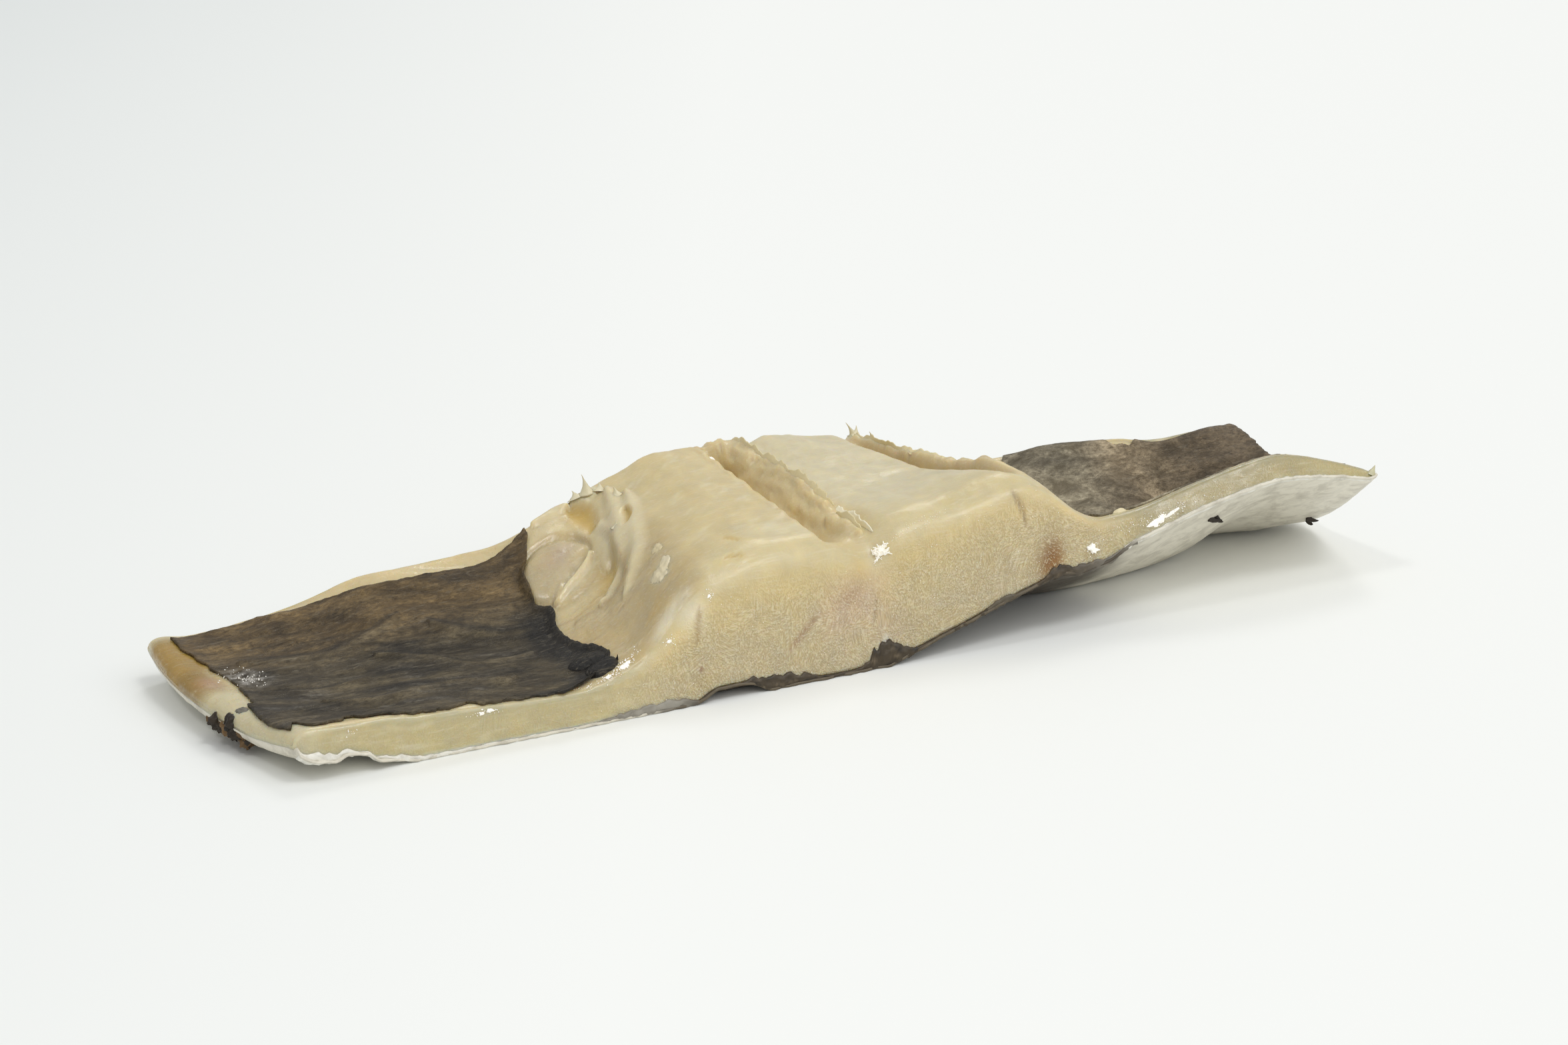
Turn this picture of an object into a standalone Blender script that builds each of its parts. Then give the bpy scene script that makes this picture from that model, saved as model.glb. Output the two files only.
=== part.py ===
"""Salted dried cod: a band cut across a split fish, lying on its skin with the inner side up.

Two thick loins run side by side in the middle, where the backbone has been taken out.
A thin belly flap lies to the left of them and another curls up to the right.

The band is one closed solid, mapped from a box of cells:
    across  runs along X, from the left flap's end to the right flap's end, in millimetres
    along   runs from the front cut (0) to the back cut (1)
    up      runs from the skin (0) to the inner side (1)
"""
import bmesh
import bpy
import numpy as np
from mathutils import Vector

MM = 0.001
NAME = "cod_piece"

# Driving dimensions, in millimetres.
LEFT_END = -199.0
RIGHT_END = 199.0
FRONT_CUT = -48.0
BACK_CUT = 48.0
CUT_LEAN = 0.27           # the cut faces lean back by this share of the loins' height
FLAP_LEAN_SHARE = 0.1     # share of that lean on the flaps
LOIN_UPRIGHT = 0.8        # how far the loins' sections stand upright where the skin slopes
LOIN_RADIUS = 6.0         # roundness of the loins' upper edges
FLAP_RADIUS = 2.5         # roundness of the flaps' upper edges
SKIN_RADIUS = 1.6         # roundness of the skin side's edges
END_RADIUS = 7.0          # roundness of the flaps' ends
END_SHARE = 0.15          # share of the thickness at the very end of a flap
DRIFT_START = -0.45       # where the drift would begin, so that it is already growing at the front
LEFT_BOW = 16.5           # how far the left end bows outwards towards the back
RIGHT_BOW = 9.0           # how far the right end bows outwards halfway along
LEFT_EXTRA = 3.0          # how much further back the left flap reaches
RIGHT_CURL = 0.5          # how much sooner the right end curls up behind the resting strip

# Height of the skin above the table, as (across, height). Below 0 it is pressed flat.
SKIN_AT_FRONT = ((-199, 6.5), (-188, 5), (-170, 2), (-155, -0.6), (-5, -0.6), (30, 8), (60, 16.5),
                 (98, 26.5), (130, 35.5), (158, 39.5), (180, 37), (199, 33))
SKIN_BETWEEN = ((-199, 4), (-180, 1.5), (-160, -0.6), (165, -0.6), (199, 4.5))
SKIN_AT_BACK = ((-199, 6), (-185, 2.5), (-165, 6.5), (-140, 14), (-105, 14.5), (-75, 5), (-50, 0),
                (40, 0), (85, 10), (116, 24), (155, 24.5), (199, 18.5))
REST_STARTS = ((-199, -25), (0, -8), (60, -2), (98, -9), (122, -6), (145, 3), (162, 17), (180, 8),
               (199, -2))
REST_DEPTH = 10.0         # how far the resting strip reaches along the fish

# Thickness from the skin to the inner side, as (across, thickness).
THICK_AT_FRONT = ((-199, 10.5), (-190, 11), (-160, 14.5), (-112, 12), (-92, 16), (-58, 39), (-35, 43),
                  (-14, 42.5), (2, 37), (14, 41.5), (38, 38), (66, 36), (78, 28.5), (92, 14.5),
                  (110, 11.5), (155, 11), (199, 5))
THICK_BETWEEN = ((-199, 10), (-140, 12), (-108, 13), (-88, 20), (-60, 42), (-35, 46.5), (2, 46),
                 (60, 46.8), (76, 44.5), (96, 14), (110, 10), (155, 9.5), (199, 7))
THICK_AT_BACK = ((-199, 11), (-140, 13), (-108, 15.5), (-84, 29), (-60, 43), (-38, 50), (0, 50),
                 (9, 47.8), (22, 49.8), (36, 49), (56, 45.5), (76, 38), (96, 19), (110, 12.5),
                 (150, 11.5), (199, 9))

# How far the back of each line of flesh stands across from its front.
DRIFT = ((-199, 0), (-150, -3), (-96, 8), (-60, 10), (-40, 6), (-15, -2), (3, -6), (30, -16),
         (60, -30), (80, -34), (96, -14), (115, -2), (199, 3))

# Where the flaps turn into the loins, as places across.
LEFT_TURN = (-108.0, -72.0)
RIGHT_TURN = (84.0, 112.0)
# Where the ends start to flare and bow, measured outwards from the middle.
EXTRA_FROM = (20.0, 150.0)
BOW_FROM = 150.0
CURL_FROM = 165.0
# Share of a half turn that each end's bow goes through.
LEFT_BOW_TURN = 0.6
RIGHT_BOW_TURN = 0.8

# Grooves left by the backbone, each with a ragged crest on its right. lip, floor, slope, crest
# and foot are places across; sink, start, full, fade and end are shares: of the crest's height
# that is lost towards the back, and of the way from the front cut to the back cut.
MIDDLE_GROOVE = {"lip": -16.0, "floor": -12.8, "slope": -12.4, "crest": 2.5, "foot": 7.5,
                 "depth": 10.0, "height": 1.6, "sink": 0.0, "start": 0.0, "full": 0.2,
                 "fade": 0.85, "end": 0.93}
RIGHT_GROOVE = {"lip": 65.0, "floor": 68.5, "slope": 71.0, "crest": 76.5, "foot": 82.0,
                "depth": 6.5, "height": 5.2, "sink": 1.0, "start": 0.04, "full": 0.24,
                "fade": 0.7, "end": 1.3}
SINK_SPAN = (0.2, 1.0)    # share of the way over which a crest sinks
FADE_SPAN = 0.18          # share of the way over which a groove gets shallow
FADE_DEPTH = 0.75         # share of the groove's depth lost there
END_SPAN = 0.08           # share of the way over which a groove ends
END_LOSS = 0.9            # share of its relief lost there

# Cells of the box that the solid is mapped from.
WIDE_CELL = 7.5           # widest cell across the flaps and loins
FINE_CELL = 2.4           # widest cell across the grooves
LONG_CELL = 7.0           # longest cell along the fish
EDGE_ROWS = (1.0, 3.0, 6.5)        # rows of cells next to a cut, in millimetres from it
END_ROWS = (0.8, 3.0, 7.0)         # rows of cells next to a flap's end
ROWS_UP = (0.0, 0.05, 0.5, 0.86, 0.95, 1.0)

FLESH_COLOUR = (0.62, 0.52, 0.34, 1.0)
FLESH_ROUGHNESS = 0.4


def curve(points, place):
    """A smooth curve through the points that never swings past them."""
    across, value = np.array(points, dtype=float).T
    gap = np.diff(across)
    slope = np.diff(value) / gap
    tangent = np.zeros(len(across))
    same_way = slope[:-1] * slope[1:] > 0
    before = 2.0 * gap[1:] + gap[:-1]
    after = gap[1:] + 2.0 * gap[:-1]
    steep = np.where(same_way, slope[:-1], 1.0)
    steep_next = np.where(same_way, slope[1:], 1.0)
    inner = (before + after) / (before / steep + after / steep_next)
    tangent[1:-1] = np.where(same_way, inner, 0.0)
    tangent[0] = slope[0]
    tangent[-1] = slope[-1]
    place = np.clip(place, across[0], across[-1])
    index = np.clip(np.searchsorted(across, place, side="right") - 1, 0, len(gap) - 1)
    t = (place - across[index]) / gap[index]
    return ((2 * t ** 3 - 3 * t ** 2 + 1) * value[index]
            + (t ** 3 - 2 * t ** 2 + t) * gap[index] * tangent[index]
            + (3 * t ** 2 - 2 * t ** 3) * value[index + 1]
            + (t ** 3 - t ** 2) * gap[index] * tangent[index + 1])


def ease(value, start, end):
    """0 before start, 1 after end, and a smooth step between them."""
    t = np.clip((value - start) / (end - start), 0.0, 1.0)
    return t * t * (3.0 - 2.0 * t)


def lift(t, softness=0.3):
    """A trough's side: flat at 0, then nearly straight up to 1 at t = 1."""
    t = np.clip(t, 0.0, None)
    return (np.sqrt(t * t + softness ** 2) - softness) / (np.sqrt(1.0 + softness ** 2) - softness)


def back_edge(across):
    """Depth of the back cut."""
    return BACK_CUT + LEFT_EXTRA * ease(-across, *EXTRA_FROM)


def skin_height(across, depth):
    """Height of the skin above the table at a depth measured in millimetres."""
    rest = curve(SKIN_BETWEEN, across)
    start = curve(REST_STARTS, across)
    end = start + REST_DEPTH
    front = (curve(SKIN_AT_FRONT, across) - rest) * lift((start - depth) / (start - FRONT_CUT))
    reach = np.clip((depth - end) / (back_edge(across) - end), 0.0, None)
    reach = reach ** (1.0 - RIGHT_CURL * ease(across, CURL_FROM, RIGHT_END))
    back = (curve(SKIN_AT_BACK, across) - rest) * lift(reach)
    return rest + front + back


def skin_slope(across, depth):
    """Rise of the skin for each millimetre along the fish."""
    return (skin_height(across, depth + 1.0) - skin_height(across, depth - 1.0)) / 2.0


def loin_share(across):
    """1 over the two loins and 0 over the flaps."""
    return ease(across, *LEFT_TURN) * (1.0 - ease(across, *RIGHT_TURN))


def groove(across, along, form):
    """Relief of one groove: a steep left wall, a sloping right wall and a crest."""
    on = ease(along, form["start"] - 0.01, form["full"])
    off = 1.0 - FADE_DEPTH * ease(along, form["fade"], form["fade"] + FADE_SPAN)
    ended = 1.0 - END_LOSS * ease(along, form["end"] - END_SPAN, form["end"])
    wall = ease(across, form["lip"], form["floor"])
    climb = ease(across, form["slope"], form["crest"])
    drop = ease(across, form["crest"], form["foot"])
    hollow = form["depth"] * off * wall * (1.0 - climb)
    ridge = form["height"] * climb * (1.0 - drop) * (1.0 - form["sink"] * ease(along, *SINK_SPAN))
    return on * (ridge - hollow) * ended


def thickness(across, along):
    """Thickness of the flesh, with the grooves of the backbone in it."""
    front = curve(THICK_AT_FRONT, across) * (1.0 - along) * (1.0 - 2.0 * along)
    middle = curve(THICK_BETWEEN, across) * 4.0 * along * (1.0 - along)
    back = curve(THICK_AT_BACK, across) * along * (2.0 * along - 1.0)
    grooves = groove(across, along, MIDDLE_GROOVE) + groove(across, along, RIGHT_GROOVE)
    return front + middle + back + grooves


def end_bow(across, along):
    """Both flaps' ends are bowed outwards."""
    left = LEFT_BOW * np.sin(LEFT_BOW_TURN * np.pi * along) * ease(-across, BOW_FROM, -LEFT_END)
    right = RIGHT_BOW * np.sin(RIGHT_BOW_TURN * np.pi * along) * ease(across, BOW_FROM, RIGHT_END)
    return right - left


def round_corner(inward, downward, radius):
    """Move points near a square edge onto an arc, from their distances to its two faces."""
    turn = np.clip((inward - downward) / radius, -1.0, 1.0)
    near = (inward < radius) & (downward < radius)
    angle = np.pi / 4.0 * (1.0 + turn)
    return (np.where(near, radius - radius * np.cos(angle), inward),
            np.where(near, radius - radius * np.sin(angle), downward))


def section(across, along, up):
    """Depth and height within the section, with its four long edges rounded."""
    full = thickness(across, along)
    span = back_edge(across) - FRONT_CUT
    depth = along * span
    height = up * full
    inner_radius = FLAP_RADIUS + (LOIN_RADIUS - FLAP_RADIUS) * loin_share(across)
    for at_back in (False, True):
        for at_top in (False, True):
            inward = span - depth if at_back else depth
            downward = full - height if at_top else height
            radius = inner_radius if at_top else SKIN_RADIUS
            inward, downward = round_corner(inward, downward, radius)
            depth = span - inward if at_back else inward
            height = full - downward if at_top else downward
    return FRONT_CUT + depth, height


def pinch(across):
    """Share of the thickness that is left near a flap's end, which makes the end round."""
    end = np.minimum(across - LEFT_END, RIGHT_END - across)
    inset = np.clip(1.0 - end / END_RADIUS, 0.0, 1.0)
    return END_SHARE + (1.0 - END_SHARE) * np.sqrt(1.0 - inset ** 2)


def surface(across, along, up):
    """Map box places to points of the solid, as X, Y and Z in millimetres."""
    depth, height = section(across, along, up)
    middle = thickness(across, along) / 2.0
    height = middle + (height - middle) * pinch(across)
    loin = loin_share(across)
    tilt = np.arctan(skin_slope(across, depth)) * (1.0 - LOIN_UPRIGHT * loin)
    lean = CUT_LEAN * (FLAP_LEAN_SHARE + (1.0 - FLAP_LEAN_SHARE) * loin)
    x = across + curve(DRIFT, across) * ease(along, DRIFT_START, 1.0) + end_bow(across, along)
    y = depth + height * (lean - np.sin(tilt))
    z = np.maximum(skin_height(across, depth), 0.0) + height * np.cos(tilt)
    return x, y, z


def spread(start, end, widest):
    """Evenly spaced places from start up to, but not including, end."""
    cells = int(np.ceil((end - start) / widest))
    return np.linspace(start, end, cells + 1)[:-1]


def places_across():
    """Places across the fish, close together at the ends and over the grooves."""
    rows = np.array(END_ROWS)
    groove_edges = (MIDDLE_GROOVE["lip"], MIDDLE_GROOVE["foot"],
                    RIGHT_GROOVE["lip"], RIGHT_GROOVE["foot"])
    stops = (LEFT_END + rows[-1],) + groove_edges + (RIGHT_END - rows[-1],)
    parts = [[LEFT_END], LEFT_END + rows[:-1]]
    for index, (start, end) in enumerate(zip(stops, stops[1:])):
        widest = FINE_CELL if index in (1, 3) else WIDE_CELL
        parts.append(spread(start, end, widest))
    parts.append(RIGHT_END - rows[::-1])
    parts.append([RIGHT_END])
    return np.concatenate(parts)


def places_along():
    """Places along the fish, close together next to the two cuts."""
    rows = np.array(EDGE_ROWS) / (BACK_CUT - FRONT_CUT)
    widest = LONG_CELL / (BACK_CUT - FRONT_CUT)
    middle = spread(rows[-1], 1.0 - rows[-1], widest)
    return np.concatenate([[0.0], rows[:-1], middle, 1.0 - rows[::-1], [1.0]])


def box_of_cells(places):
    """A cube cut into cells at the places given for each axis."""
    cells = bmesh.new()
    bmesh.ops.create_cube(cells, size=1.0)
    for vertex in cells.verts:
        for axis, cuts in enumerate(places):
            vertex.co[axis] = cuts[0] if vertex.co[axis] < 0.0 else cuts[-1]
    for axis, cuts in enumerate(places):
        across_axis = Vector([float(index == axis) for index in range(3)])
        for cut in cuts[1:-1]:
            everything = cells.verts[:] + cells.edges[:] + cells.faces[:]
            bmesh.ops.bisect_plane(cells, geom=everything, plane_co=across_axis * cut,
                                   plane_no=across_axis)
    return cells


def flesh_material():
    """Pale, slightly moist salted flesh."""
    material = bpy.data.materials.new("salted_flesh")
    material.use_nodes = True
    shader = material.node_tree.nodes["Principled BSDF"]
    shader.inputs["Base Color"].default_value = FLESH_COLOUR
    shader.inputs["Roughness"].default_value = FLESH_ROUGHNESS
    return material


def cod_piece():
    """The whole piece, with its origin below the middle of its box, on the table."""
    cells = box_of_cells((places_across(), places_along(), ROWS_UP))
    across, along, up = np.array([vertex.co for vertex in cells.verts], dtype=float).T
    points = np.stack(surface(across, along, up), axis=1)
    middle = (points.min(axis=0) + points.max(axis=0)) / 2.0
    middle[2] = points[:, 2].min()
    for vertex, point in zip(cells.verts, (points - middle) * MM):
        vertex.co = point
    mesh = bpy.data.meshes.new(NAME)
    cells.to_mesh(mesh)
    cells.free()
    mesh.shade_smooth()
    mesh.materials.append(flesh_material())
    return bpy.data.objects.new(NAME, mesh)


def main():
    for old in list(bpy.data.objects):
        bpy.data.objects.remove(old, do_unlink=True)
    collection = bpy.data.collections.new("salted_dried_cod")
    bpy.context.scene.collection.children.link(collection)
    collection.objects.link(cod_piece())


if __name__ == "__main__":
    main()
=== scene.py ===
"""Salted dried cod: the looks of a band cut across a split fish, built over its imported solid.

The flesh, the dark lining of the belly, the skin, the torn bits and the salt are separate
closed meshes on the same form. Lengths are in millimetres until a mesh is made.

Places on the form:
    across  runs along X, from the left flap's end to the right flap's end
    inward  is the distance from the front cut, towards the back cut
    height  is the distance from the skin, towards the inner side
"""
from functools import lru_cache
from itertools import product

import bpy
import numpy as np
from mathutils import Matrix, Vector

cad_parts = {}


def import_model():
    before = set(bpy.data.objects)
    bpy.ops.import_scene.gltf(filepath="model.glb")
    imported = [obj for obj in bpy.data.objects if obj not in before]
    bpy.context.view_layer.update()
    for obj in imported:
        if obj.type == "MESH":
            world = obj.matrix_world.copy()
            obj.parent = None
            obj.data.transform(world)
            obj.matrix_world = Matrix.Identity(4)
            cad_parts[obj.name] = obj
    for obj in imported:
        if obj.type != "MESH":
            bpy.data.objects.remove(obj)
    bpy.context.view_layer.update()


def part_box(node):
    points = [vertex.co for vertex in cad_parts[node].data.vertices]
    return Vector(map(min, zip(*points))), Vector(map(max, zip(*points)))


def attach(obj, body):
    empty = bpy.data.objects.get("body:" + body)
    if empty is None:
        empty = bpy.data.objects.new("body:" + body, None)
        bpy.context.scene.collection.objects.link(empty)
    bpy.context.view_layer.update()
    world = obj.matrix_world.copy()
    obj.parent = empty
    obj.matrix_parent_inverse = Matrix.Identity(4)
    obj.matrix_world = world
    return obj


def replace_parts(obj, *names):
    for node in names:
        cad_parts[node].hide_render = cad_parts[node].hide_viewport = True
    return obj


MM = 0.001
NODE = "cod_piece"
BODY = "root"

# ---------------------------------------------------------------- the form, as the solid has it

LEFT_END = -199.0
RIGHT_END = 199.0
FRONT_CUT = -48.0
BACK_CUT = 48.0
CUT_LEAN = 0.27
FLAP_LEAN_SHARE = 0.1
LOIN_UPRIGHT = 0.8
LOIN_RADIUS = 9.0
FLAP_RADIUS = 2.5
SKIN_RADIUS = 1.6
END_RADIUS = 7.0
END_SHARE = 0.15
DRIFT_START = -0.45
LEFT_BOW = 16.5
RIGHT_BOW = 9.0
LEFT_EXTRA = 3.0
RIGHT_CURL = 0.5
SKIN_AT_FRONT = ((-199, 6.5), (-188, 5), (-170, 2), (-155, -0.6), (-5, -0.6), (30, 8), (60, 16.5),
                 (98, 26.5), (130, 35.5), (158, 39.5), (180, 37), (199, 33))
SKIN_BETWEEN = ((-199, 4), (-180, 1.5), (-160, -0.6), (165, -0.6), (199, 4.5))
SKIN_AT_BACK = ((-199, 6), (-185, 2.5), (-165, 6.5), (-140, 14), (-105, 14.5), (-75, 5), (-50, 0),
                (40, 0), (85, 10), (116, 24), (155, 24.5), (199, 18.5))
REST_STARTS = ((-199, -25), (0, -8), (60, -2), (98, -9), (122, -6), (145, 3), (162, 17), (180, 8),
               (199, -2))
REST_DEPTH = 10.0
THICK_AT_FRONT = ((-199, 10.5), (-190, 11), (-160, 14.5), (-112, 12), (-92, 16), (-58, 39), (-35, 43),
                  (-14, 42.5), (2, 37), (14, 41.5), (38, 38), (66, 36), (78, 28.5), (92, 14.5),
                  (110, 11.5), (155, 11), (199, 5))
THICK_BETWEEN = ((-199, 10), (-140, 12), (-108, 13), (-88, 20), (-60, 42), (-35, 46.5), (2, 46),
                 (60, 46.8), (76, 44.5), (96, 14), (110, 10), (155, 9.5), (199, 7))
THICK_AT_BACK = ((-199, 11), (-140, 13), (-108, 15.5), (-84, 29), (-60, 43), (-38, 50), (0, 50),
                (9, 47.8), (22, 49.8), (36, 49), (56, 45.5), (76, 38), (96, 19), (110, 12.5),
                (150, 11.5), (199, 9))
DRIFT = ((-199, 0), (-150, -3), (-96, 8), (-60, 10), (-40, 6), (-15, -2), (3, -6), (30, -16),
         (60, -30), (80, -34), (96, -14), (115, -2), (199, 3))
MIDDLE_GROOVE = {"lip": -16.0, "floor": -12.8, "slope": -12.4, "crest": 2.5, "foot": 7.5,
                 "depth": 10.0, "height": 1.6, "sink": 0.0, "start": 0.0, "full": 0.2, "fade": 0.85, "end": 0.93}
RIGHT_GROOVE = {"lip": 65.0, "floor": 68.5, "slope": 71.0, "crest": 76.5, "foot": 82.0,
                "depth": 6.5, "height": 5.2, "sink": 1.0, "start": 0.04, "full": 0.24, "fade": 0.7, "end": 1.3}


def curve(points, place):
    """A smooth curve through the points that never swings past them."""
    across, value = np.array(points, dtype=float).T
    gap = np.diff(across)
    slope = np.diff(value) / gap
    tangent = np.zeros(len(across))
    same_way = slope[:-1] * slope[1:] > 0
    before = 2.0 * gap[1:] + gap[:-1]
    after = gap[1:] + 2.0 * gap[:-1]
    steep = np.where(same_way, slope[:-1], 1.0)
    steep_next = np.where(same_way, slope[1:], 1.0)
    inner = (before + after) / (before / steep + after / steep_next)
    tangent[1:-1] = np.where(same_way, inner, 0.0)
    tangent[0] = slope[0]
    tangent[-1] = slope[-1]
    place = np.clip(place, across[0], across[-1])
    index = np.clip(np.searchsorted(across, place, side="right") - 1, 0, len(gap) - 1)
    t = (place - across[index]) / gap[index]
    return ((2 * t ** 3 - 3 * t ** 2 + 1) * value[index]
            + (t ** 3 - 2 * t ** 2 + t) * gap[index] * tangent[index]
            + (3 * t ** 2 - 2 * t ** 3) * value[index + 1]
            + (t ** 3 - t ** 2) * gap[index] * tangent[index + 1])


def ease(value, start, end):
    """0 before start, 1 after end, and a smooth step between them."""
    t = np.clip((value - start) / (end - start), 0.0, 1.0)
    return t * t * (3.0 - 2.0 * t)


def trough(t, softness=0.3):
    """A trough's side: flat at 0, then nearly straight up to 1 at t = 1."""
    t = np.clip(t, 0.0, None)
    return (np.sqrt(t * t + softness ** 2) - softness) / (np.sqrt(1.0 + softness ** 2) - softness)


def span(across):
    """Distance from the front cut to the back cut."""
    return BACK_CUT - FRONT_CUT + LEFT_EXTRA * ease(-across, 20.0, 150.0)


def skin_height(across, depth):
    """Height of the skin above the table at a depth measured in millimetres."""
    rest = curve(SKIN_BETWEEN, across)
    start = curve(REST_STARTS, across)
    end = start + REST_DEPTH
    front = (curve(SKIN_AT_FRONT, across) - rest) * trough((start - depth) / (start - FRONT_CUT))
    reach = np.clip((depth - end) / (FRONT_CUT + span(across) - end), 0.0, None)
    reach = reach ** (1.0 - RIGHT_CURL * ease(across, 165.0, RIGHT_END))
    back = (curve(SKIN_AT_BACK, across) - rest) * trough(reach)
    return rest + front + back


def skin_slope(across, depth):
    """Rise of the skin for each millimetre along the fish."""
    return (skin_height(across, depth + 1.0) - skin_height(across, depth - 1.0)) / 2.0


def loin_share(across):
    """1 over the two loins and 0 over the flaps."""
    return ease(across, -108.0, -72.0) * ease(-across, -112.0, -84.0)


def groove(across, along, form):
    """Relief of one groove: a steep left wall, a sloping right wall and a ragged crest."""
    on = ease(along, form["start"] - 0.01, form["full"])
    off = 1.0 - 0.75 * ease(along, form["fade"], form["fade"] + 0.18)
    wall = ease(across, form["lip"], form["floor"])
    climb = ease(across, form["slope"], form["crest"])
    drop = ease(across, form["crest"], form["foot"])
    hollow = form["depth"] * off * wall * (1.0 - climb)
    ridge = form["height"] * climb * (1.0 - drop) * (1.0 - form["sink"] * ease(along, 0.2, 1.0))
    return on * (ridge - hollow) * (1.0 - 0.9 * ease(along, form["end"] - 0.08, form["end"]))


def thickness(across, inward):
    """Thickness of the flesh, with the grooves of the backbone in it."""
    along = np.clip(inward / span(across), 0.0, 1.0)
    front = curve(THICK_AT_FRONT, across) * (1.0 - along) * (1.0 - 2.0 * along)
    middle = curve(THICK_BETWEEN, across) * 4.0 * along * (1.0 - along)
    back = curve(THICK_AT_BACK, across) * along * (2.0 * along - 1.0)
    grooves = groove(across, along, MIDDLE_GROOVE) + groove(across, along, RIGHT_GROOVE)
    return front + middle + back + grooves


def end_bow(across, along):
    """Both flaps' ends are bowed outwards."""
    left = LEFT_BOW * np.sin(0.6 * np.pi * along) * ease(-across, 150.0, -LEFT_END)
    right = RIGHT_BOW * np.sin(0.8 * np.pi * along) * ease(across, 150.0, RIGHT_END)
    return right - left


def pinch(across):
    """Share of the thickness that is left near a flap's end, which makes the end round."""
    end = np.minimum(across - LEFT_END, RIGHT_END - across)
    inset = np.clip(1.0 - end / END_RADIUS, 0.0, 1.0)
    return END_SHARE + (1.0 - END_SHARE) * np.sqrt(1.0 - inset ** 2)


def point(across, inward, height):
    """The point at a place of the form, as X, Y and Z."""
    across, inward, height = np.broadcast_arrays(across, inward, height)
    along = inward / span(across)
    middle = thickness(across, inward) / 2.0
    height = middle + (height - middle) * pinch(across)
    loin = loin_share(across)
    depth = FRONT_CUT + inward
    tilt = np.arctan(skin_slope(across, depth)) * (1.0 - LOIN_UPRIGHT * loin)
    lean = CUT_LEAN * (FLAP_LEAN_SHARE + (1.0 - FLAP_LEAN_SHARE) * loin)
    x = across + curve(DRIFT, across) * ease(along, DRIFT_START, 1.0) + end_bow(across, along)
    y = depth + height * (lean - np.sin(tilt))
    z = np.maximum(skin_height(across, depth), 0.0) + height * np.cos(tilt)
    return np.stack([x, y, z], axis=-1)


def round_corner(inside, below, radius):
    """Move places near a square edge onto an arc, from their distances to its two faces."""
    turn = np.clip((inside - below) / radius, -1.0, 1.0)
    near = (inside < radius) & (below < radius)
    angle = np.pi / 4.0 * (1.0 + turn)
    return (np.where(near, radius - radius * np.cos(angle), inside),
            np.where(near, radius - radius * np.sin(angle), below))


def rounded(across, inward, height):
    """Inward and height after the four long edges have been rounded."""
    full = thickness(across, inward)
    wide = span(across)
    inner_radius = FLAP_RADIUS + (LOIN_RADIUS - FLAP_RADIUS) * loin_share(across)
    for at_back in (False, True):
        for at_top in (False, True):
            inside = wide - inward if at_back else inward
            below = full - height if at_top else height
            inside, below = round_corner(inside, below, inner_radius if at_top else SKIN_RADIUS)
            inward = wide - inside if at_back else inside
            height = full - below if at_top else below
    return inward, height


# ---------------------------------------------------------------- random grain and strokes


@lru_cache(maxsize=None)
def lattice(seed):
    """A shuffled order and a set of slopes for the grain of one seed."""
    random = np.random.default_rng(seed)
    order = random.permutation(256)
    slopes = random.normal(size=(256, 3))
    return order, slopes / np.linalg.norm(slopes, axis=1, keepdims=True)


def grain(seed, size, x, y, z=0.0):
    """Smooth random values from about -1 to 1, with lumps of the given size on each axis."""
    order, slopes = lattice(seed)
    x, y, z = np.broadcast_arrays(x, y, z)
    places = np.stack([x, y, z], axis=-1) / np.array(size, dtype=float)
    cell = np.floor(places).astype(int)
    part = places - cell
    fade = part ** 3 * (part * (part * 6.0 - 15.0) + 10.0)
    total = np.zeros(x.shape)
    for corner in product((0, 1), repeat=3):
        here = (cell + corner) & 255
        mixed = order[(order[here[..., 0]] + here[..., 1]) & 255]
        slope = slopes[order[(mixed + here[..., 2]) & 255]]
        share = np.prod(np.where(np.array(corner) == 1, fade, 1.0 - fade), axis=-1)
        total += share * np.sum(slope * (part - corner), axis=-1)
    return 1.6 * total


def rough(seed, size, x, y, z=0.0, octaves=3):
    """Grain with finer and finer grain added to it."""
    size = np.array(size, dtype=float) * np.ones(3)
    total = 0.0
    for octave in range(octaves):
        total = total + grain(seed + octave, size / 2.1 ** octave, x, y, z) / 1.8 ** octave
    return total


def smooth_line(points, count=24):
    """Evenly numbered places on a smooth line through a few points."""
    points = np.array(points, dtype=float)
    steps = np.arange(len(points))
    t = np.linspace(0.0, len(points) - 1.0, count)
    return np.stack([curve(np.stack([steps, points[:, axis]], axis=1), t)
                     for axis in range(points.shape[1])], axis=-1)


def near_line(points, x, y):
    """Distance from a line through the points, the share of it that is passed, and the side."""
    best = np.full(np.shape(x), 1e9)
    share = np.zeros(np.shape(x))
    side = np.zeros(np.shape(x))
    count = len(points) - 1
    for index, (start, end) in enumerate(zip(points, points[1:])):
        step_x = end[0] - start[0]
        step_y = end[1] - start[1]
        t = ((x - start[0]) * step_x + (y - start[1]) * step_y) / (step_x ** 2 + step_y ** 2)
        t = np.clip(t, 0.0, 1.0)
        gap = np.hypot(x - start[0] - t * step_x, y - start[1] - t * step_y)
        nearer = gap < best
        best = np.where(nearer, gap, best)
        share = np.where(nearer, (index + t) / count, share)
        turn = step_x * (y - start[1]) - step_y * (x - start[0])
        side = np.where(nearer, np.sign(turn), side)
    return best, share, side


def stroke(points, width, x, y):
    """1 on a line through the points and 0 beyond its width, tapering at both ends."""
    gap, share, _ = near_line(points, x, y)
    taper = 0.15 + 0.85 * np.sqrt(np.clip(4.0 * share * (1.0 - share), 0.0, 1.0))
    return ease(-gap / (width * taper), -1.0, 0.0)


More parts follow.
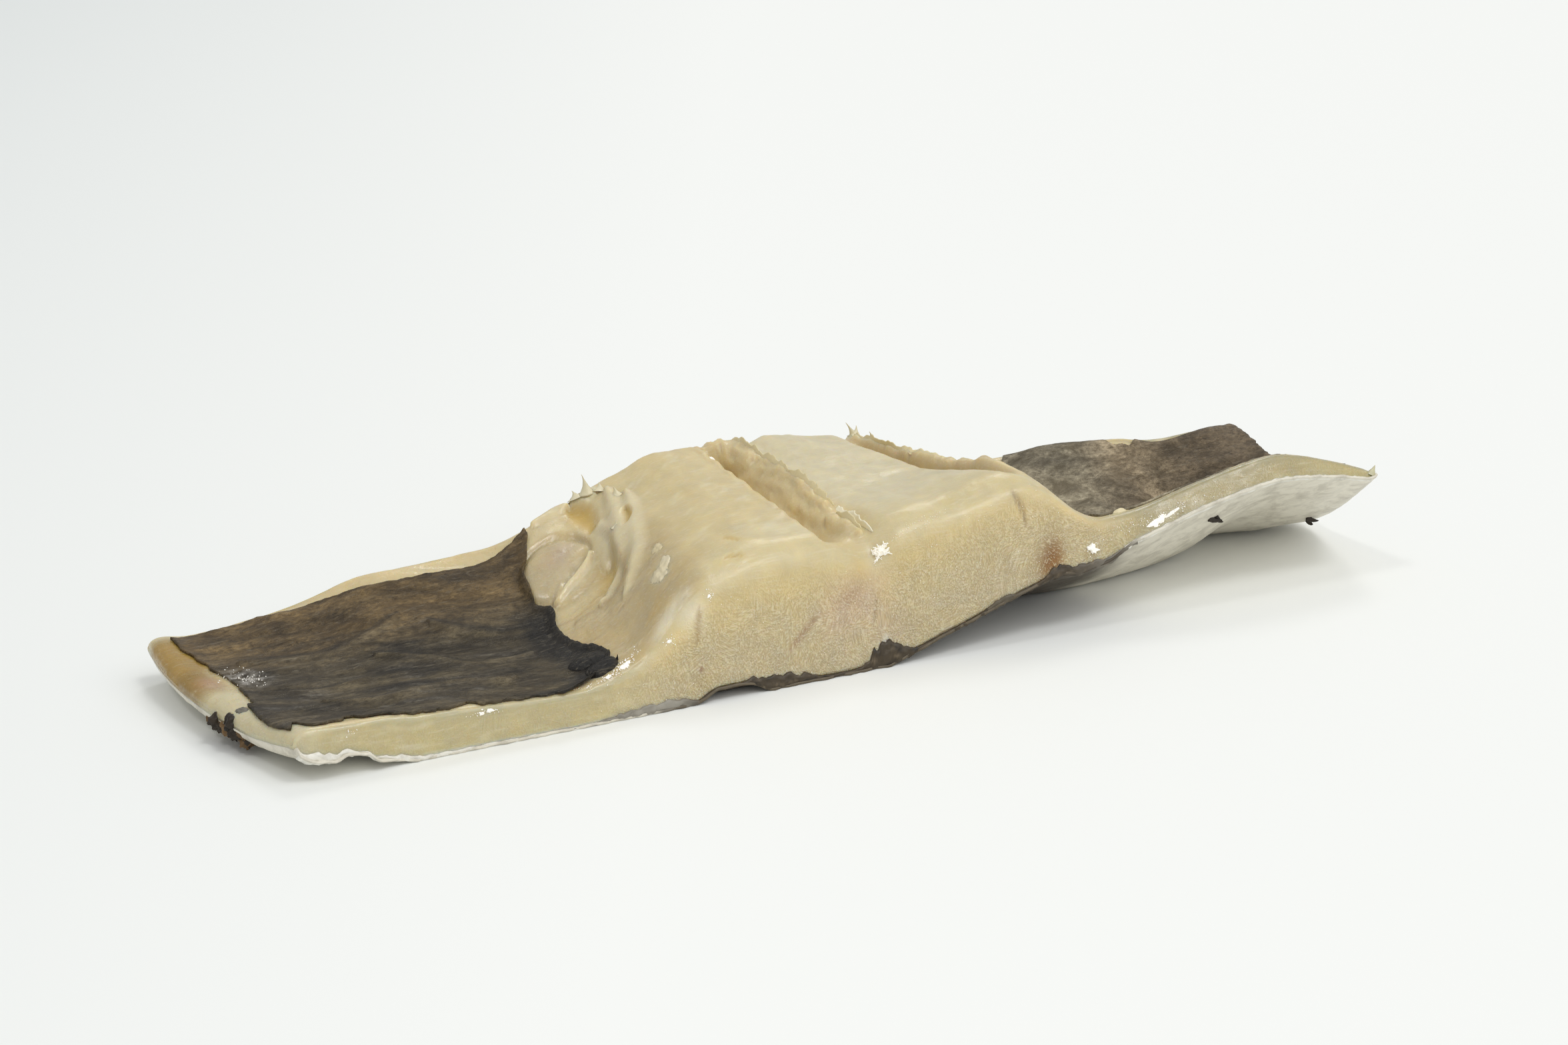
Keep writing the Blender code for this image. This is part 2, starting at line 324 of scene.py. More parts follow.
def fold(points, reach, edge, x, y):
    """1 along a folded edge, sinking slowly over reach to its left and over edge to its right."""
    gap, share, side = near_line(points, x, y)
    taper = np.clip(5.0 * share * (1.0 - share), 0.0, 1.0) ** 0.5
    return taper * np.where(side > 0, np.exp(-(gap / reach) ** 2), ease(-gap / edge, -1.0, 0.0))


def ring_of(outline):
    """The middle of an outline, and its radius for each angle from before 0 to past a full turn."""
    outline = np.array(outline, dtype=float)
    middle = (outline.min(axis=0) + outline.max(axis=0)) / 2.0
    offset = outline - middle
    angles = np.arctan2(offset[:, 1], offset[:, 0])
    order = np.argsort(angles)
    ring = np.stack([angles[order], np.hypot(*offset[order].T)], axis=1)
    turn = np.array((2.0 * np.pi, 0.0))
    return middle, np.concatenate([ring - turn, ring, ring + turn])


def share_out(outline, x, y):
    """0 at the middle of an outline, 1 on it and more outside it."""
    middle, ring = ring_of(outline)
    right, ahead = x - middle[0], y - middle[1]
    return np.hypot(right, ahead) / curve(ring, np.arctan2(ahead, right))


def spot(centre, size, x, y, turn=0.0):
    """1 at the middle of an ellipse and 0 outside it."""
    cosine, sine = np.cos(np.radians(turn)), np.sin(np.radians(turn))
    right = (x - centre[0]) * cosine + (y - centre[1]) * sine
    ahead = (y - centre[1]) * cosine - (x - centre[0]) * sine
    return ease(-np.hypot(right / size[0], ahead / size[1]), -1.0, 0.0)


# ---------------------------------------------------------------- relief of the flesh

# The tongue of muscle that comes out from under a lip on the left flank.
TONGUE = ((-103.5, 77), (-99.7, 82.5), (-95.5, 84.5), (-90.8, 83.5), (-85, 79.5), (-81, 73.5),
          (-80.2, 68), (-83, 65.8), (-87, 65.5), (-91, 64), (-94.5, 61.5), (-98.5, 61), (-102, 65),
          (-104, 71))
# Folded edges of the left flank, each higher on the left of its path: (places, height, reach, edge).
FOLDED_EDGES = (
    (((-105, 81), (-101, 85.5), (-95, 87.3), (-89, 86.3), (-83, 81.8), (-79, 75), (-78.2, 67.5), (-80.5, 62)),
     0.9, 5.0, 2.0),
    (((-73, 70), (-72.2, 60), (-72.6, 52), (-74, 43), (-76.5, 37), (-81, 36.6), (-87, 40), (-95, 43.5)),
     1.7, 9.0, 3.0),
    (((-67.0, 31), (-72, 27), (-78, 27.2), (-85, 31), (-94, 33)), 0.8, 6.0, 2.5),
    (((-97, 57.5), (-90, 56.8), (-84, 57.6), (-79.5, 60)), 0.8, 6.0, 1.8),
)
# Strands and lumps of the left flank, as (places, width, height).
STRANDS = (
    (((-97.5, 59.5), (-92, 61.8), (-87.3, 62.6), (-83, 63), (-79.8, 65.4)), 3.8, 2.2),
    (((-65, 84), (-67, 74), (-69.5, 62), (-73, 51), (-79, 43), (-86, 39)), 5.0, 1.4),
    (((-61, 76), (-63, 66), (-66.2, 56), (-68, 46), (-73, 36), (-80, 30)), 4.6, 1.2),
    (((-73, 72), (-75.0, 62), (-79, 54)), 4.5, 0.7),
    (((-92, 95), (-86, 96), (-82, 94.5), (-78, 91)), 6.0, 1.8),
    (((-76, 92), (-72, 89), (-68, 86)), 6.0, 1.4),
    (((-65.4, 66), (-66.0, 61), (-68, 56)), 2.6, -1.6),
    (((-78.5, 90), (-76, 84), (-75.5, 77), (-77, 72)), 5.0, -1.3),
)
# Soft lumps of the ridge in the middle and of the right loin's edge, as (places, width, height).
RIDGE_LUMPS = (
    (((-1.5, 22), (0.5, 15), (3.0, 8)), 5.0, 1.7),
    (((-9, 96), (-6, 88), (-3, 80), (-2, 70)), 7.0, 1.5),
    (((3.5, 60), (3.0, 48), (3.4, 36)), 3.5, 0.9),
    (((84, 66), (87.5, 48), (89.5, 30), (92.5, 13)), 4.6, 1.7),
    (((81, 44), (84, 30), (88, 17)), 3.0, -0.7),
)
AMBER_BOWL = ((-79.5, 50), (7.5, 10.0))
# Small ticks in the tops of the loins, as (places, width, depth).
TOP_TICKS = (
    (((-47.5, 17), (-45.5, 15), (-43.6, 11.5)), 1.2, 0.4),
    (((-52, 5.2), (-48.5, 4.4), (-45.2, 3.2)), 1.1, 0.4),
)
# Creases of the cut face, as (places across and up, width, depth).
FACE_CREASES = (
    (((62.3, 32.5), (62.7, 29), (64, 25), (64.6, 21.5)), 1.1, 0.9),
    (((2, 24), (0.5, 19), (-1.4, 13.8)), 0.8, 0.35),
)


def top_relief(across, inward):
    """Relief of the inner side, in millimetres."""
    flap = 1.0 - loin_share(across)
    lumps = 0.45 * grain(3, (17, 12, 1), across, inward) + 0.16 * grain(4, (5, 4, 1), across, inward)
    pits = 0.06 * grain(5, (1.9, 1.9, 1), across, inward)
    relief = lumps * (1.0 - 0.5 * flap) + pits
    for places, width, depth in TOP_TICKS:
        relief = relief - depth * stroke(smooth_line(places, 12), width, across, inward)
    relief = relief + flank_relief(across, inward) + flank_fibres(across, inward)
    relief = relief + 1.2 * flap * soft_folds(across, inward)
    wall = ease(across, -11.0, -7.0) * ease(-across, -3.0, 0.0) * ease(inward, 14.0, 26.0)
    relief = relief + 0.95 * wall * rough(13, (2.8, 9, 1), across + 0.15 * inward, inward)
    lip = np.exp(-((across + 17.0 - 1.2 * grain(14, (1, 9, 1), 0.0, inward)) / 1.8) ** 2) * ease(inward, 8.0, 20.0)
    relief = relief + lip * (0.3 + 0.7 * grain(18, (4, 5, 1), across, inward))
    for places, width, height in RIDGE_LUMPS:
        relief = relief + height * stroke(smooth_line(places, 12), width, across, inward)
    return relief + crest_relief(across, inward)


def soft_folds(across, inward):
    """Broad soft folds of the flaps, along the fish."""
    swept = inward + 0.25 * across + 4.0 * grain(105, (30, 20, 1), across, inward)
    away = ease(inward, 5.0, 16.0) * ease(np.abs(across), 104.0, 118.0) * ease(-np.abs(across), -192.0, -182.0)
    folds = grain(106, (34, 11, 1), across, swept) + 0.35 * grain(107, (20, 4.5, 1), across, swept)
    if np.min(across) < -104.0:
        for places, width in LINING_FOLDS:
            folds = folds + 0.8 * stroke(smooth_line(places, 14), 1.6 * width, across, inward + 0.6 * width)
    return folds * away


def flank_relief(across, inward):
    """The tongue, the folds and the strands of the left flank."""
    relief = np.zeros(np.shape(across))
    near = (across > -112.0) & (across < -52.0)
    if not near.any():
        return relief
    x, y = across[near], inward[near]
    out = share_out(TONGUE, x, y)
    inner = 2.8 * np.clip(1.0 - out ** 3.5, 0.0, 1.0) ** 0.6
    inner = inner - 0.5 * np.exp(-((out - 1.06) / 0.08) ** 2)
    for places, height, reach, edge in FOLDED_EDGES:
        inner = inner + height * fold(smooth_line(places, 16), reach, edge, x, y) * (out > 0.98)
    for places, width, height in STRANDS:
        inner = inner + height * stroke(smooth_line(places, 12), width, x, y)
    relief[near] = inner - 2.0 * spot(*AMBER_BOWL, x, y)
    return relief


def flank_fibres(across, inward):
    """Fine ridges that fan out down the left flank."""
    flank = ease(across, -104.0, -96.0) * ease(-across, 62.0, 70.0)
    fan = inward + 0.35 * (across + 60.0) * ease(-inward, -45.0, 0.0)
    fan = fan + 1.2 * grain(7, (9, 9, 1), across, inward)
    ridges = grain(8, (16, 2.0, 1), across, fan) + 0.5 * grain(9, (11, 1.0, 1), across, fan)
    return 0.32 * flank * ridges * ease(-inward, -62.0, -44.0)


def crest_relief(across, inward):
    """Ragged crests along the two grooves."""
    total = 0.0
    for form, seed in ((MIDDLE_GROOVE, 11), (RIGHT_GROOVE, 12)):
        along = inward / span(across)
        on = ease(along, form["start"] + 0.02, form["full"])
        near = np.exp(-((across - form["crest"]) / 2.6) ** 2)
        teeth = 0.4 + 1.2 * grain(seed, (7, 5.0, 1), across, inward)
        teeth = teeth + 0.8 * grain(seed + 20, (3, 2.2, 1), across, inward)
        total = total + on * near * teeth
    return total


def face_relief(across, height):
    """Relief of the two cut faces, in millimetres."""
    relief = 0.35 * grain(15, (13, 11, 1), across, height) + 0.14 * grain(16, (3.2, 3, 1), across, height)
    relief = relief + 0.07 * grain(17, (1.4, 1.3, 1), across, height)
    for places, width, depth in FACE_CREASES:
        relief = relief - depth * stroke(smooth_line(places, 10), width, across, height)
    return relief


# ---------------------------------------------------------------- surfaces that pieces sit on


def normal_of(place, first, second, step=0.4):
    """Unit normal of a surface given by two coordinates."""
    one = place(first + step, second) - place(first - step, second)
    other = place(first, second + step) - place(first, second - step)
    normal = np.cross(one, other)
    return normal / np.maximum(np.linalg.norm(normal, axis=-1, keepdims=True), 1e-9)


def bare_top(across, inward):
    """The inner side before its relief."""
    inside, height = rounded(across, inward, thickness(across, inward))
    return point(across, inside, height)


def on_top(across, inward, above=0.0):
    """Points above the inner side."""
    lift = top_relief(across, inward) + above
    return bare_top(across, inward) + normal_of(bare_top, across, inward) * lift[..., None]


def on_lining(across, inward, above=0.0):
    """Points above the dark lining."""
    return on_top(across, inward, above + 0.6)


def bare_face(across, height):
    """The front cut before its relief."""
    inward, height = rounded(across, np.zeros(np.shape(across)), height)
    return point(across, inward, height)


def on_face(across, height, above=0.0):
    """Points in front of the front cut."""
    lift = face_relief(across, height) + above
    return bare_face(across, height) + normal_of(bare_face, across, height) * lift[..., None]


def on_skin(across, inward, above=0.0):
    """Points under the skin side; above is measured away from the flesh."""
    def bare(first, second):
        return point(first, second, 0.0)
    return bare(across, inward) - normal_of(bare, across, inward) * np.asarray(above)[..., None]


def on_rim(inward, around, above=0.0):
    """Points beside the left end; around is measured upwards over it from its outermost line."""
    def bare(first, second):
        angle = np.clip(second / END_RADIUS, -np.pi / 2.0, np.pi / 2.0)
        across = LEFT_END + END_RADIUS * (1.0 - np.cos(angle))
        height = thickness(across, first) * (0.5 + 0.5 * np.clip(5.0 * angle, -1.0, 1.0))
        return point(across, first, height)
    return bare(inward, around) - normal_of(bare, inward, around) * np.asarray(above)[..., None]


# ---------------------------------------------------------------- meshes


class Setting:
    """Turns places of the form into places of the frame."""

    def __init__(self):
        low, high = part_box(NODE)
        across, inward = np.meshgrid(np.linspace(LEFT_END, RIGHT_END, 400), np.linspace(0, 1, 80))
        inward = inward * span(across)
        corners = [bare_top(across, inward), point(across, inward, 0.0)]
        points = np.concatenate([part.reshape(-1, 3) for part in corners])
        middle = (points.min(axis=0) + points.max(axis=0)) / 2.0
        frame_middle = np.array((low + high) / 2.0)
        self.shift = frame_middle / MM - middle
        self.shift[2] = low.z / MM

    def frame(self, points):
        """Metres in the frame, from millimetres of the form."""
        return (np.asarray(points) + self.shift) * MM


def mesh_piece(name, parts, material):
    """A named mesh made of closed parts, on the fish's one body, with its paint in attributes."""
    points, faces, tint, fibre, wet = join(parts)
    mesh = bpy.data.meshes.new(name)
    mesh.from_pydata(points.tolist(), [], faces.tolist())
    mesh.update()
    mesh.shade_smooth()
    colours = np.concatenate([tint, np.ones((len(tint), 1))], axis=1)
    paint = mesh.attributes.new("tint", "FLOAT_COLOR", "POINT")
    paint.data.foreach_set("color", colours.astype(np.float32).ravel())
    for label, amounts in (("fibre", fibre), ("wet", wet)):
        amount = mesh.attributes.new(label, "FLOAT", "POINT")
        amount.data.foreach_set("value", amounts.astype(np.float32))
    mesh.materials.append(material)
    piece = bpy.data.objects.new(name, mesh)
    bpy.context.scene.collection.objects.link(piece)
    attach(piece, BODY)
    return piece


def part(points, faces, tint, fibre=0.0, wet=0.5):
    """Points, quads and paint of one closed part; the paint is one value or one for each point."""
    points = np.asarray(points).reshape(-1, 3)
    count = len(points)
    return (points, np.asarray(faces), np.broadcast_to(tint, (count, 3)),
            np.broadcast_to(fibre, (count,)), np.broadcast_to(wet, (count,)))


def join(parts):
    """Several parts as one."""
    starts = np.cumsum([0] + [len(each[0]) for each in parts[:-1]])
    faces = np.concatenate([each[1] + start for each, start in zip(parts, starts)])
    return (np.concatenate([each[0] for each in parts]), faces,
            *(np.concatenate([each[index] for each in parts]) for index in (2, 3, 4)))


def sheet_faces(rows, columns):
    """Quads of a closed sheet: its upper side, its lower side and its rim."""
    index = np.arange(rows * columns).reshape(rows, columns)
    upper = np.stack([index[:-1, :-1], index[1:, :-1], index[1:, 1:], index[:-1, 1:]], axis=-1)
    upper = upper.reshape(-1, 4)
    lower = upper[:, ::-1] + rows * columns
    loop = np.concatenate([index[:-1, 0], index[-1, :-1], index[:0:-1, -1], index[0, :0:-1]])
    after = np.roll(loop, -1)
    rim = np.stack([loop, loop + rows * columns, after + rows * columns, after], axis=-1)
    return np.concatenate([upper, lower, rim])


def box_nodes(places):
    """Box places on the surface of a grid, with the quads between them."""
    shape = tuple(len(axis) for axis in places)
    index = np.arange(np.prod(shape)).reshape(shape)
    sides = []
    for axis in range(3):
        for end in (0, -1):
            side = np.take(index, end, axis=axis)
            quads = np.stack([side[:-1, :-1], side[1:, :-1], side[1:, 1:], side[:-1, 1:]], axis=-1)
            quads = quads.reshape(-1, 4)
            outward = (end == -1) != (axis == 1)
            sides.append(quads if outward else quads[:, ::-1])
    quads = np.concatenate(sides)
    used = np.unique(quads)
    grid = np.stack(np.meshgrid(*places, indexing="ij"), axis=-1).reshape(-1, 3)
    return grid[used], np.searchsorted(used, quads)


def vertex_normals(points, quads):
    """Unit normals at the points of a mesh of quads."""
    corner = points[quads]
    face = np.cross(corner[:, 2] - corner[:, 0], corner[:, 3] - corner[:, 1])
    normals = np.zeros_like(points)
    for column in range(4):
        np.add.at(normals, quads[:, column], face)
    return normals / np.maximum(np.linalg.norm(normals, axis=1, keepdims=True), 1e-9)


def spread(start, end, widest):
    """Evenly spaced places from start up to, but not including, end."""
    cells = int(np.ceil((end - start) / widest))
    return np.linspace(start, end, cells + 1)[:-1]


# ---------------------------------------------------------------- shapes of small parts


def disc(count):
    """Radius and angle of a square grid squeezed into a disc."""
    side = np.linspace(-1.0, 1.0, count)
    a, b = np.meshgrid(side, side, indexing="ij")
    return np.maximum(np.abs(a), np.abs(b)), np.arctan2(b, a)


def pad(setting, place, outline, height, tint, count=26, sharp=3.0, seed=0, ragged=0.0, **paint):
    """A rounded patch on a surface, inside an outline given as places on it."""
    middle, ring = ring_of(outline)
    radius, angle = disc(count)
    reach = curve(ring, angle)
    jag = 1.0 + ragged * rough(seed, (0.35, 0.35, 1), np.cos(angle), np.sin(angle)) * radius ** 2
    first = middle[0] + radius * reach * jag * np.cos(angle)
    second = middle[1] + radius * reach * jag * np.sin(angle)
    lumps = 1.0 + 0.12 * grain(seed + 1, (4.0, 4.0, 1), first, second)
    ragged_top = 1.0 + 3.0 * ragged * rough(seed + 2, (1.6, 1.6, 1), first, second, octaves=2)
    dome = height * lumps * np.maximum(ragged_top, 0.0) * (1.0 - radius ** sharp) ** 0.55
    upper = place(first, second, dome - 0.15)
    lower = place(first, second, dome * 0.0 - 0.9)
    return sheet(setting, upper, lower, tint, **paint)


def welt(setting, place, path, half_width, height, tint, rows=40, columns=11, seed=0, **paint):
    """A rounded ridge on a surface, along a path of places on it."""
    line = smooth_line(path, rows)
    ahead = np.gradient(line, axis=0)
    ahead = ahead / np.linalg.norm(ahead, axis=1, keepdims=True)
    t = np.linspace(0.0, 1.0, rows)[:, None]
    s = np.linspace(-1.0, 1.0, columns)[None, :]
    taper = 0.12 + 0.88 * np.clip(4.0 * t * (1.0 - t), 0.0, 1.0) ** 0.4
    wide = half_width * taper * (1.0 + 0.15 * grain(seed, (0.2, 1, 1), t, 0.0))
    first = line[:, :1] - ahead[:, 1:] * wide * s
    second = line[:, 1:] + ahead[:, :1] * wide * s
    dome = height * taper * np.sqrt(np.clip(1.0 - s ** 2, 0.0, 1.0))
    upper = place(first, second, dome - 0.1)
    lower = place(first, second, dome * 0.0 - 0.8)
    return sheet(setting, upper, lower, tint, **paint)


def flake(setting, path, heights, lean, tint, thick=1.1, rows=70, columns=12, seed=0, tooth=0.45, **paint):
    """A ragged flake that stands along a path on the inner side and leans to its left."""
    line = smooth_line(path, rows)
    foot = on_top(line[:, 0], line[:, 1], np.zeros(rows))
    rise = normal_of(bare_top, line[:, 0], line[:, 1])
    ahead = np.gradient(foot, axis=0)
    left = np.cross(rise, ahead)
    left = left / np.linalg.norm(left, axis=1, keepdims=True)
    t = np.linspace(0.0, 1.0, rows)[:, None]
    s = np.linspace(0.0, 1.0, columns)[None, :]
    length = np.linalg.norm(np.diff(foot, axis=0), axis=1).sum()
    teeth = 1.0 + tooth * rough(seed, (7.0, 1, 1), t * length, 0.0, octaves=4)
    tall = curve(heights, t) * np.clip(teeth, 0.25, 2.0)
    up = -1.6 * (1.0 - s) + s * tall
    side = lean * s ** 2 * tall + 0.3 * s * rough(seed + 7, (7, 3, 1), t * length, s * tall, octaves=2)
    middle = foot[:, None] + rise[:, None] * up[..., None] + left[:, None] * side[..., None]
    half = left[:, None] * (0.5 * thick * (1.0 - 0.85 * s ** 0.8) * np.ones_like(t))[..., None]
    return sheet(setting, middle + half, middle - half, tint, **paint)


def horn(setting, root, tip, radius, tint, bend=(0.0, 0.0, 0.0), flat=0.6, seed=0, spread_out=0.7,
         **paint):
    """A small pointed tag from a point of the form to another."""
    root, tip, bend = (np.array(each, dtype=float) for each in (root, tip, bend))
    rows, columns = 14, 12
    t = np.linspace(0.0, 1.0, rows)[:, None]
    axis = root + (tip - root) * t + bend * (t * (1.0 - t) * 4.0)
    ahead = (tip - root) / np.linalg.norm(tip - root)
    side = np.cross(ahead, (0.3, 0.9, 0.2))
    side = side / np.linalg.norm(side)
    other = np.cross(ahead, side)
    wide = radius * (1.0 - t) ** spread_out * (1.0 + 0.2 * grain(seed, (0.25, 1, 1), t, 0.0)) + 0.12
    s = np.linspace(0.0, np.pi, columns)[None, :]
    halves = []
    for sign in (1.0, -1.0):
        across = (wide * np.cos(s))[..., None] * side
        round_way = (sign * flat * wide * np.sin(s))[..., None] * other
        halves.append(axis[:, None] + across + round_way)
    return sheet(setting, halves[0], halves[1], tint, **paint)


def crystals(setting, centres, sizes, seed, tint=(0.9, 0.9, 0.87), needle=1.0):
    """Small crystals at points of the form, each turned its own way."""
    random = np.random.default_rng(seed)
    corners = np.array(list(product((-1, 1), repeat=3)), dtype=float)
    quads = np.array(((0, 1, 3, 2), (4, 6, 7, 5), (0, 4, 5, 1), (2, 3, 7, 6), (0, 2, 6, 4), (1, 5, 7, 3)))
    parts = []
    for centre, size in zip(centres, sizes):
        turn, _ = np.linalg.qr(random.normal(size=(3, 3)))
        turn[0] *= np.sign(np.linalg.det(turn))
        shape = size * random.uniform(0.55, 1.0, 3) * np.array((needle, 1.0, 1.0)) / 2.0
        cut = corners * shape * random.uniform(0.75, 1.0, (8, 1))
        parts.append(part(setting.frame(centre + cut @ turn), quads, tint))
    return parts


def scatter(place, middle, size, count, above, seed, turn=0.0):
    """Points strewn round a place on a surface."""
    random = np.random.default_rng(seed)
    first, second = random.normal(size=(2, count)) * 0.5
    cosine, sine = np.cos(np.radians(turn)), np.sin(np.radians(turn))
    right, ahead = first * size[0], second * size[1]
    return place(middle[0] + right * cosine - ahead * sine, middle[1] + right * sine + ahead * cosine,
                 np.full(count, above))


# ---------------------------------------------------------------- paint

FLESH = np.array((0.60, 0.50, 0.29))
PALE = np.array((0.70, 0.64, 0.45))
WHITE = np.array((0.80, 0.78, 0.70))
OCHRE = np.array((0.66, 0.53, 0.27))
# Tone of the loins' front edge band: partly its own colour and partly painted shade that damps the rounded corner's
# highlight.
EDGE_WITH_PAINTED_SHADE = np.array((0.61, 0.525, 0.31))
GREYISH = np.array((0.53, 0.45, 0.29))
PINK = np.array((0.60, 0.45, 0.33))
AMBER = np.array((0.55, 0.38, 0.11))
BROWN = np.array((0.33, 0.21, 0.09))
TAN = np.array((0.50, 0.39, 0.20))
BLOOD = np.array((0.27, 0.11, 0.06))
GLASSY = np.array((0.43, 0.41, 0.27))
LINING_GREY = np.array((0.084, 0.067, 0.037))
LINING_BROWN = np.array((0.118, 0.076, 0.028))
LINING_BLACK = np.array((0.012, 0.011, 0.009))
SKIN_DARK = np.array((0.085, 0.068, 0.046))
SKIN_PALE = np.array((0.72, 0.68, 0.57))
SKIN_BLACK = np.array((0.016, 0.013, 0.010))


def toward(tint, colour, amount):
    """Paint moved towards a colour by an amount from 0 to 1."""
    amount = np.clip(amount, 0.0, 1.0)[..., None]
    return tint * (1.0 - amount) + colour * amount


def paint_top(tint, across, inward):
    """Colours of the inner side."""
    along = inward / span(across)
    left_loin = ease(across, -72.0, -58.0) * ease(-across, 6.0, 16.0)
    right_loin = ease(across, 0.0, 12.0) * ease(-across, -84.0, -66.0)
    tint = toward(tint, np.array((0.59, 0.49, 0.27)), left_loin)
    tint = toward(tint, PALE * np.array((0.86, 0.85, 0.82)), 0.85 * right_loin)
    veils = rough(31, (22, 6, 1), across + 0.8 * inward, inward - 0.5 * across)
    tint = toward(tint, PALE, 0.5 * ease(veils, 0.1, 0.9) * (left_loin + 0.6 * right_loin))
    tint = toward(tint, np.array((0.56, 0.45, 0.22)), 0.4 * ease(-veils, 0.3, 1.0) * right_loin)
    notch = spot((6.0, 20.0), (8.0, 32.0), across, inward, 8.0)
    tint = toward(tint, np.array((0.56, 0.43, 0.20)), 0.7 * notch)
    tint = toward(tint, OCHRE, 0.35 * ease(-veils, 0.2, 1.0) * left_loin)
    tint = toward(tint, PALE * 1.04, 0.7 * left_loin * spot((-22, 12), (26, 9), across, inward, -14.0))
    # The front band of the loin tops: its own tone, darkened by painted shade at the rounded corner.
    tint = toward(tint, EDGE_WITH_PAINTED_SHADE, (left_loin + right_loin) * ease(-inward, -24.0, -1.5))
    # The groove hollows are painted darker brown: partly their own colour and partly painted shade.
    for form in (MIDDLE_GROOVE, RIGHT_GROOVE):
        hollow = ease(across, form["lip"] - 0.5, form["floor"]) * ease(-across, -form["crest"], -form["slope"] - 2.0)
        hollow = hollow * ease(along, form["start"], form["full"] + 0.1) * ease(-along, -0.96, -0.86)
        tint = toward(tint, np.array((0.50, 0.36, 0.15)), 0.75 * hollow)
    wall = ease(across, -11.5, -8.5) * ease(-across, -3.5, 1.0) * ease(inward, 10.0, 20.0)
    streaks = 0.6 + 0.7 * grain(32, (3.0, 13, 1), across + 0.15 * inward, inward)
    return toward(tint, np.array((0.70, 0.58, 0.33)), 0.75 * wall * streaks)


def paint_flank(tint, across, inward):
    """Colours of the left flank: hollows, amber places and painted shade in its creases."""
    flank = ease(across, -108.0, -98.0) * ease(-across, 58.0, 70.0)
    tint = toward(tint, np.array((0.59, 0.495, 0.29)), 0.85 * flank)
    fan = inward + 0.35 * (across + 60.0) + 1.2 * grain(7, (9, 9, 1), across, inward)
    streaked = flank * ease(-inward, -64.0, -46.0)
    tint = toward(tint, np.array((0.42, 0.32, 0.16)), 0.6 * streaked * ease(-inward, -54.0, -32.0))
    tint = toward(tint, BROWN, 0.5 * streaked * ease(grain(41, (18, 1.8, 1), across, fan), 0.1, 0.8))
    tint = toward(tint, PALE, 0.40 * streaked * ease(grain(42, (16, 1.6, 1), across, fan), 0.2, 0.9))
    tint = toward(tint, TAN, 0.55 * spot((-61, 15), (8, 9), across, inward))
    tint = toward(tint, TAN, 0.5 * spot((-63, 38), (8, 18), across, inward))
    tint = toward(tint, TAN, 0.45 * spot((-88, 46), (16, 9), across, inward, 10.0))
    tint = toward(tint, TAN, 0.35 * spot((-92, 30), (12, 8), across, inward, 10.0))
    tint = toward(tint, AMBER, 0.7 * spot((-79, 50), (8.5, 12), across, inward))
    tint = toward(tint, AMBER, 0.95 * spot((-77, 83), (6.5, 8), across, inward, 30.0))
    tint = toward(tint, AMBER, 0.8 * spot((-65.5, 62), (2.2, 7.0), across, inward, -10.0))
    tint = toward(tint, AMBER, 0.5 * spot((-76, 12), (7, 4), across, inward, 20.0))
    # Along each folded edge: a paler tone over its raised side, and tan and brown strokes in its crease as painted
    # shade.
    for places, height, reach, edge in FOLDED_EDGES:
        line = smooth_line(places, 16)
        tint = toward(tint, PALE, 0.3 * fold(line, 0.6 * reach, edge, across, inward))
        tint = toward(tint, TAN * 0.85, min(0.6, 0.4 * height) * stroke(line, 4.5, across + 1.0, inward + 1.0))
        tint = toward(tint, BROWN, min(0.35, 0.2 * height) * stroke(line, 1.6, across + 0.5, inward + 0.5))
    for places, width, height in STRANDS:
        line = smooth_line(places, 12)
        on = stroke(line, width, across, inward)
        tint = toward(tint, PALE if height > 0 else AMBER, (0.55 if height > 0 else 0.9) * on)
    tint = toward(tint, WHITE, 0.45 * spot((-69.5, 21.5), (5, 6), across, inward)
                  * ease(grain(43, (2.4, 2.4, 1), across, inward), -0.4, 0.3))
    tint = toward(tint, np.array((0.76, 0.71, 0.55)), 0.8 * spot((-74, 2), (12, 7), across, inward, 8.0))
    out = share_out(TONGUE, across, inward)
    tongue = ease(-out, -1.03, -0.94)
    # Painted shade in the crease round the tongue.
    tint = toward(tint, TAN * 0.9, 0.5 * np.exp(-((out - 1.06) / 0.08) ** 2))
    tint = toward(tint, np.array((0.50, 0.42, 0.26)), tongue)
    tint = toward(tint, np.array((0.45, 0.35, 0.24)), 0.8 * tongue * spot((-90, 75), (11, 8), across, inward))
    for places, width, _ in TOP_TICKS:
        tint = toward(tint, AMBER, 0.6 * stroke(smooth_line(places, 10), 1.5 * width, across, inward))
    return tint


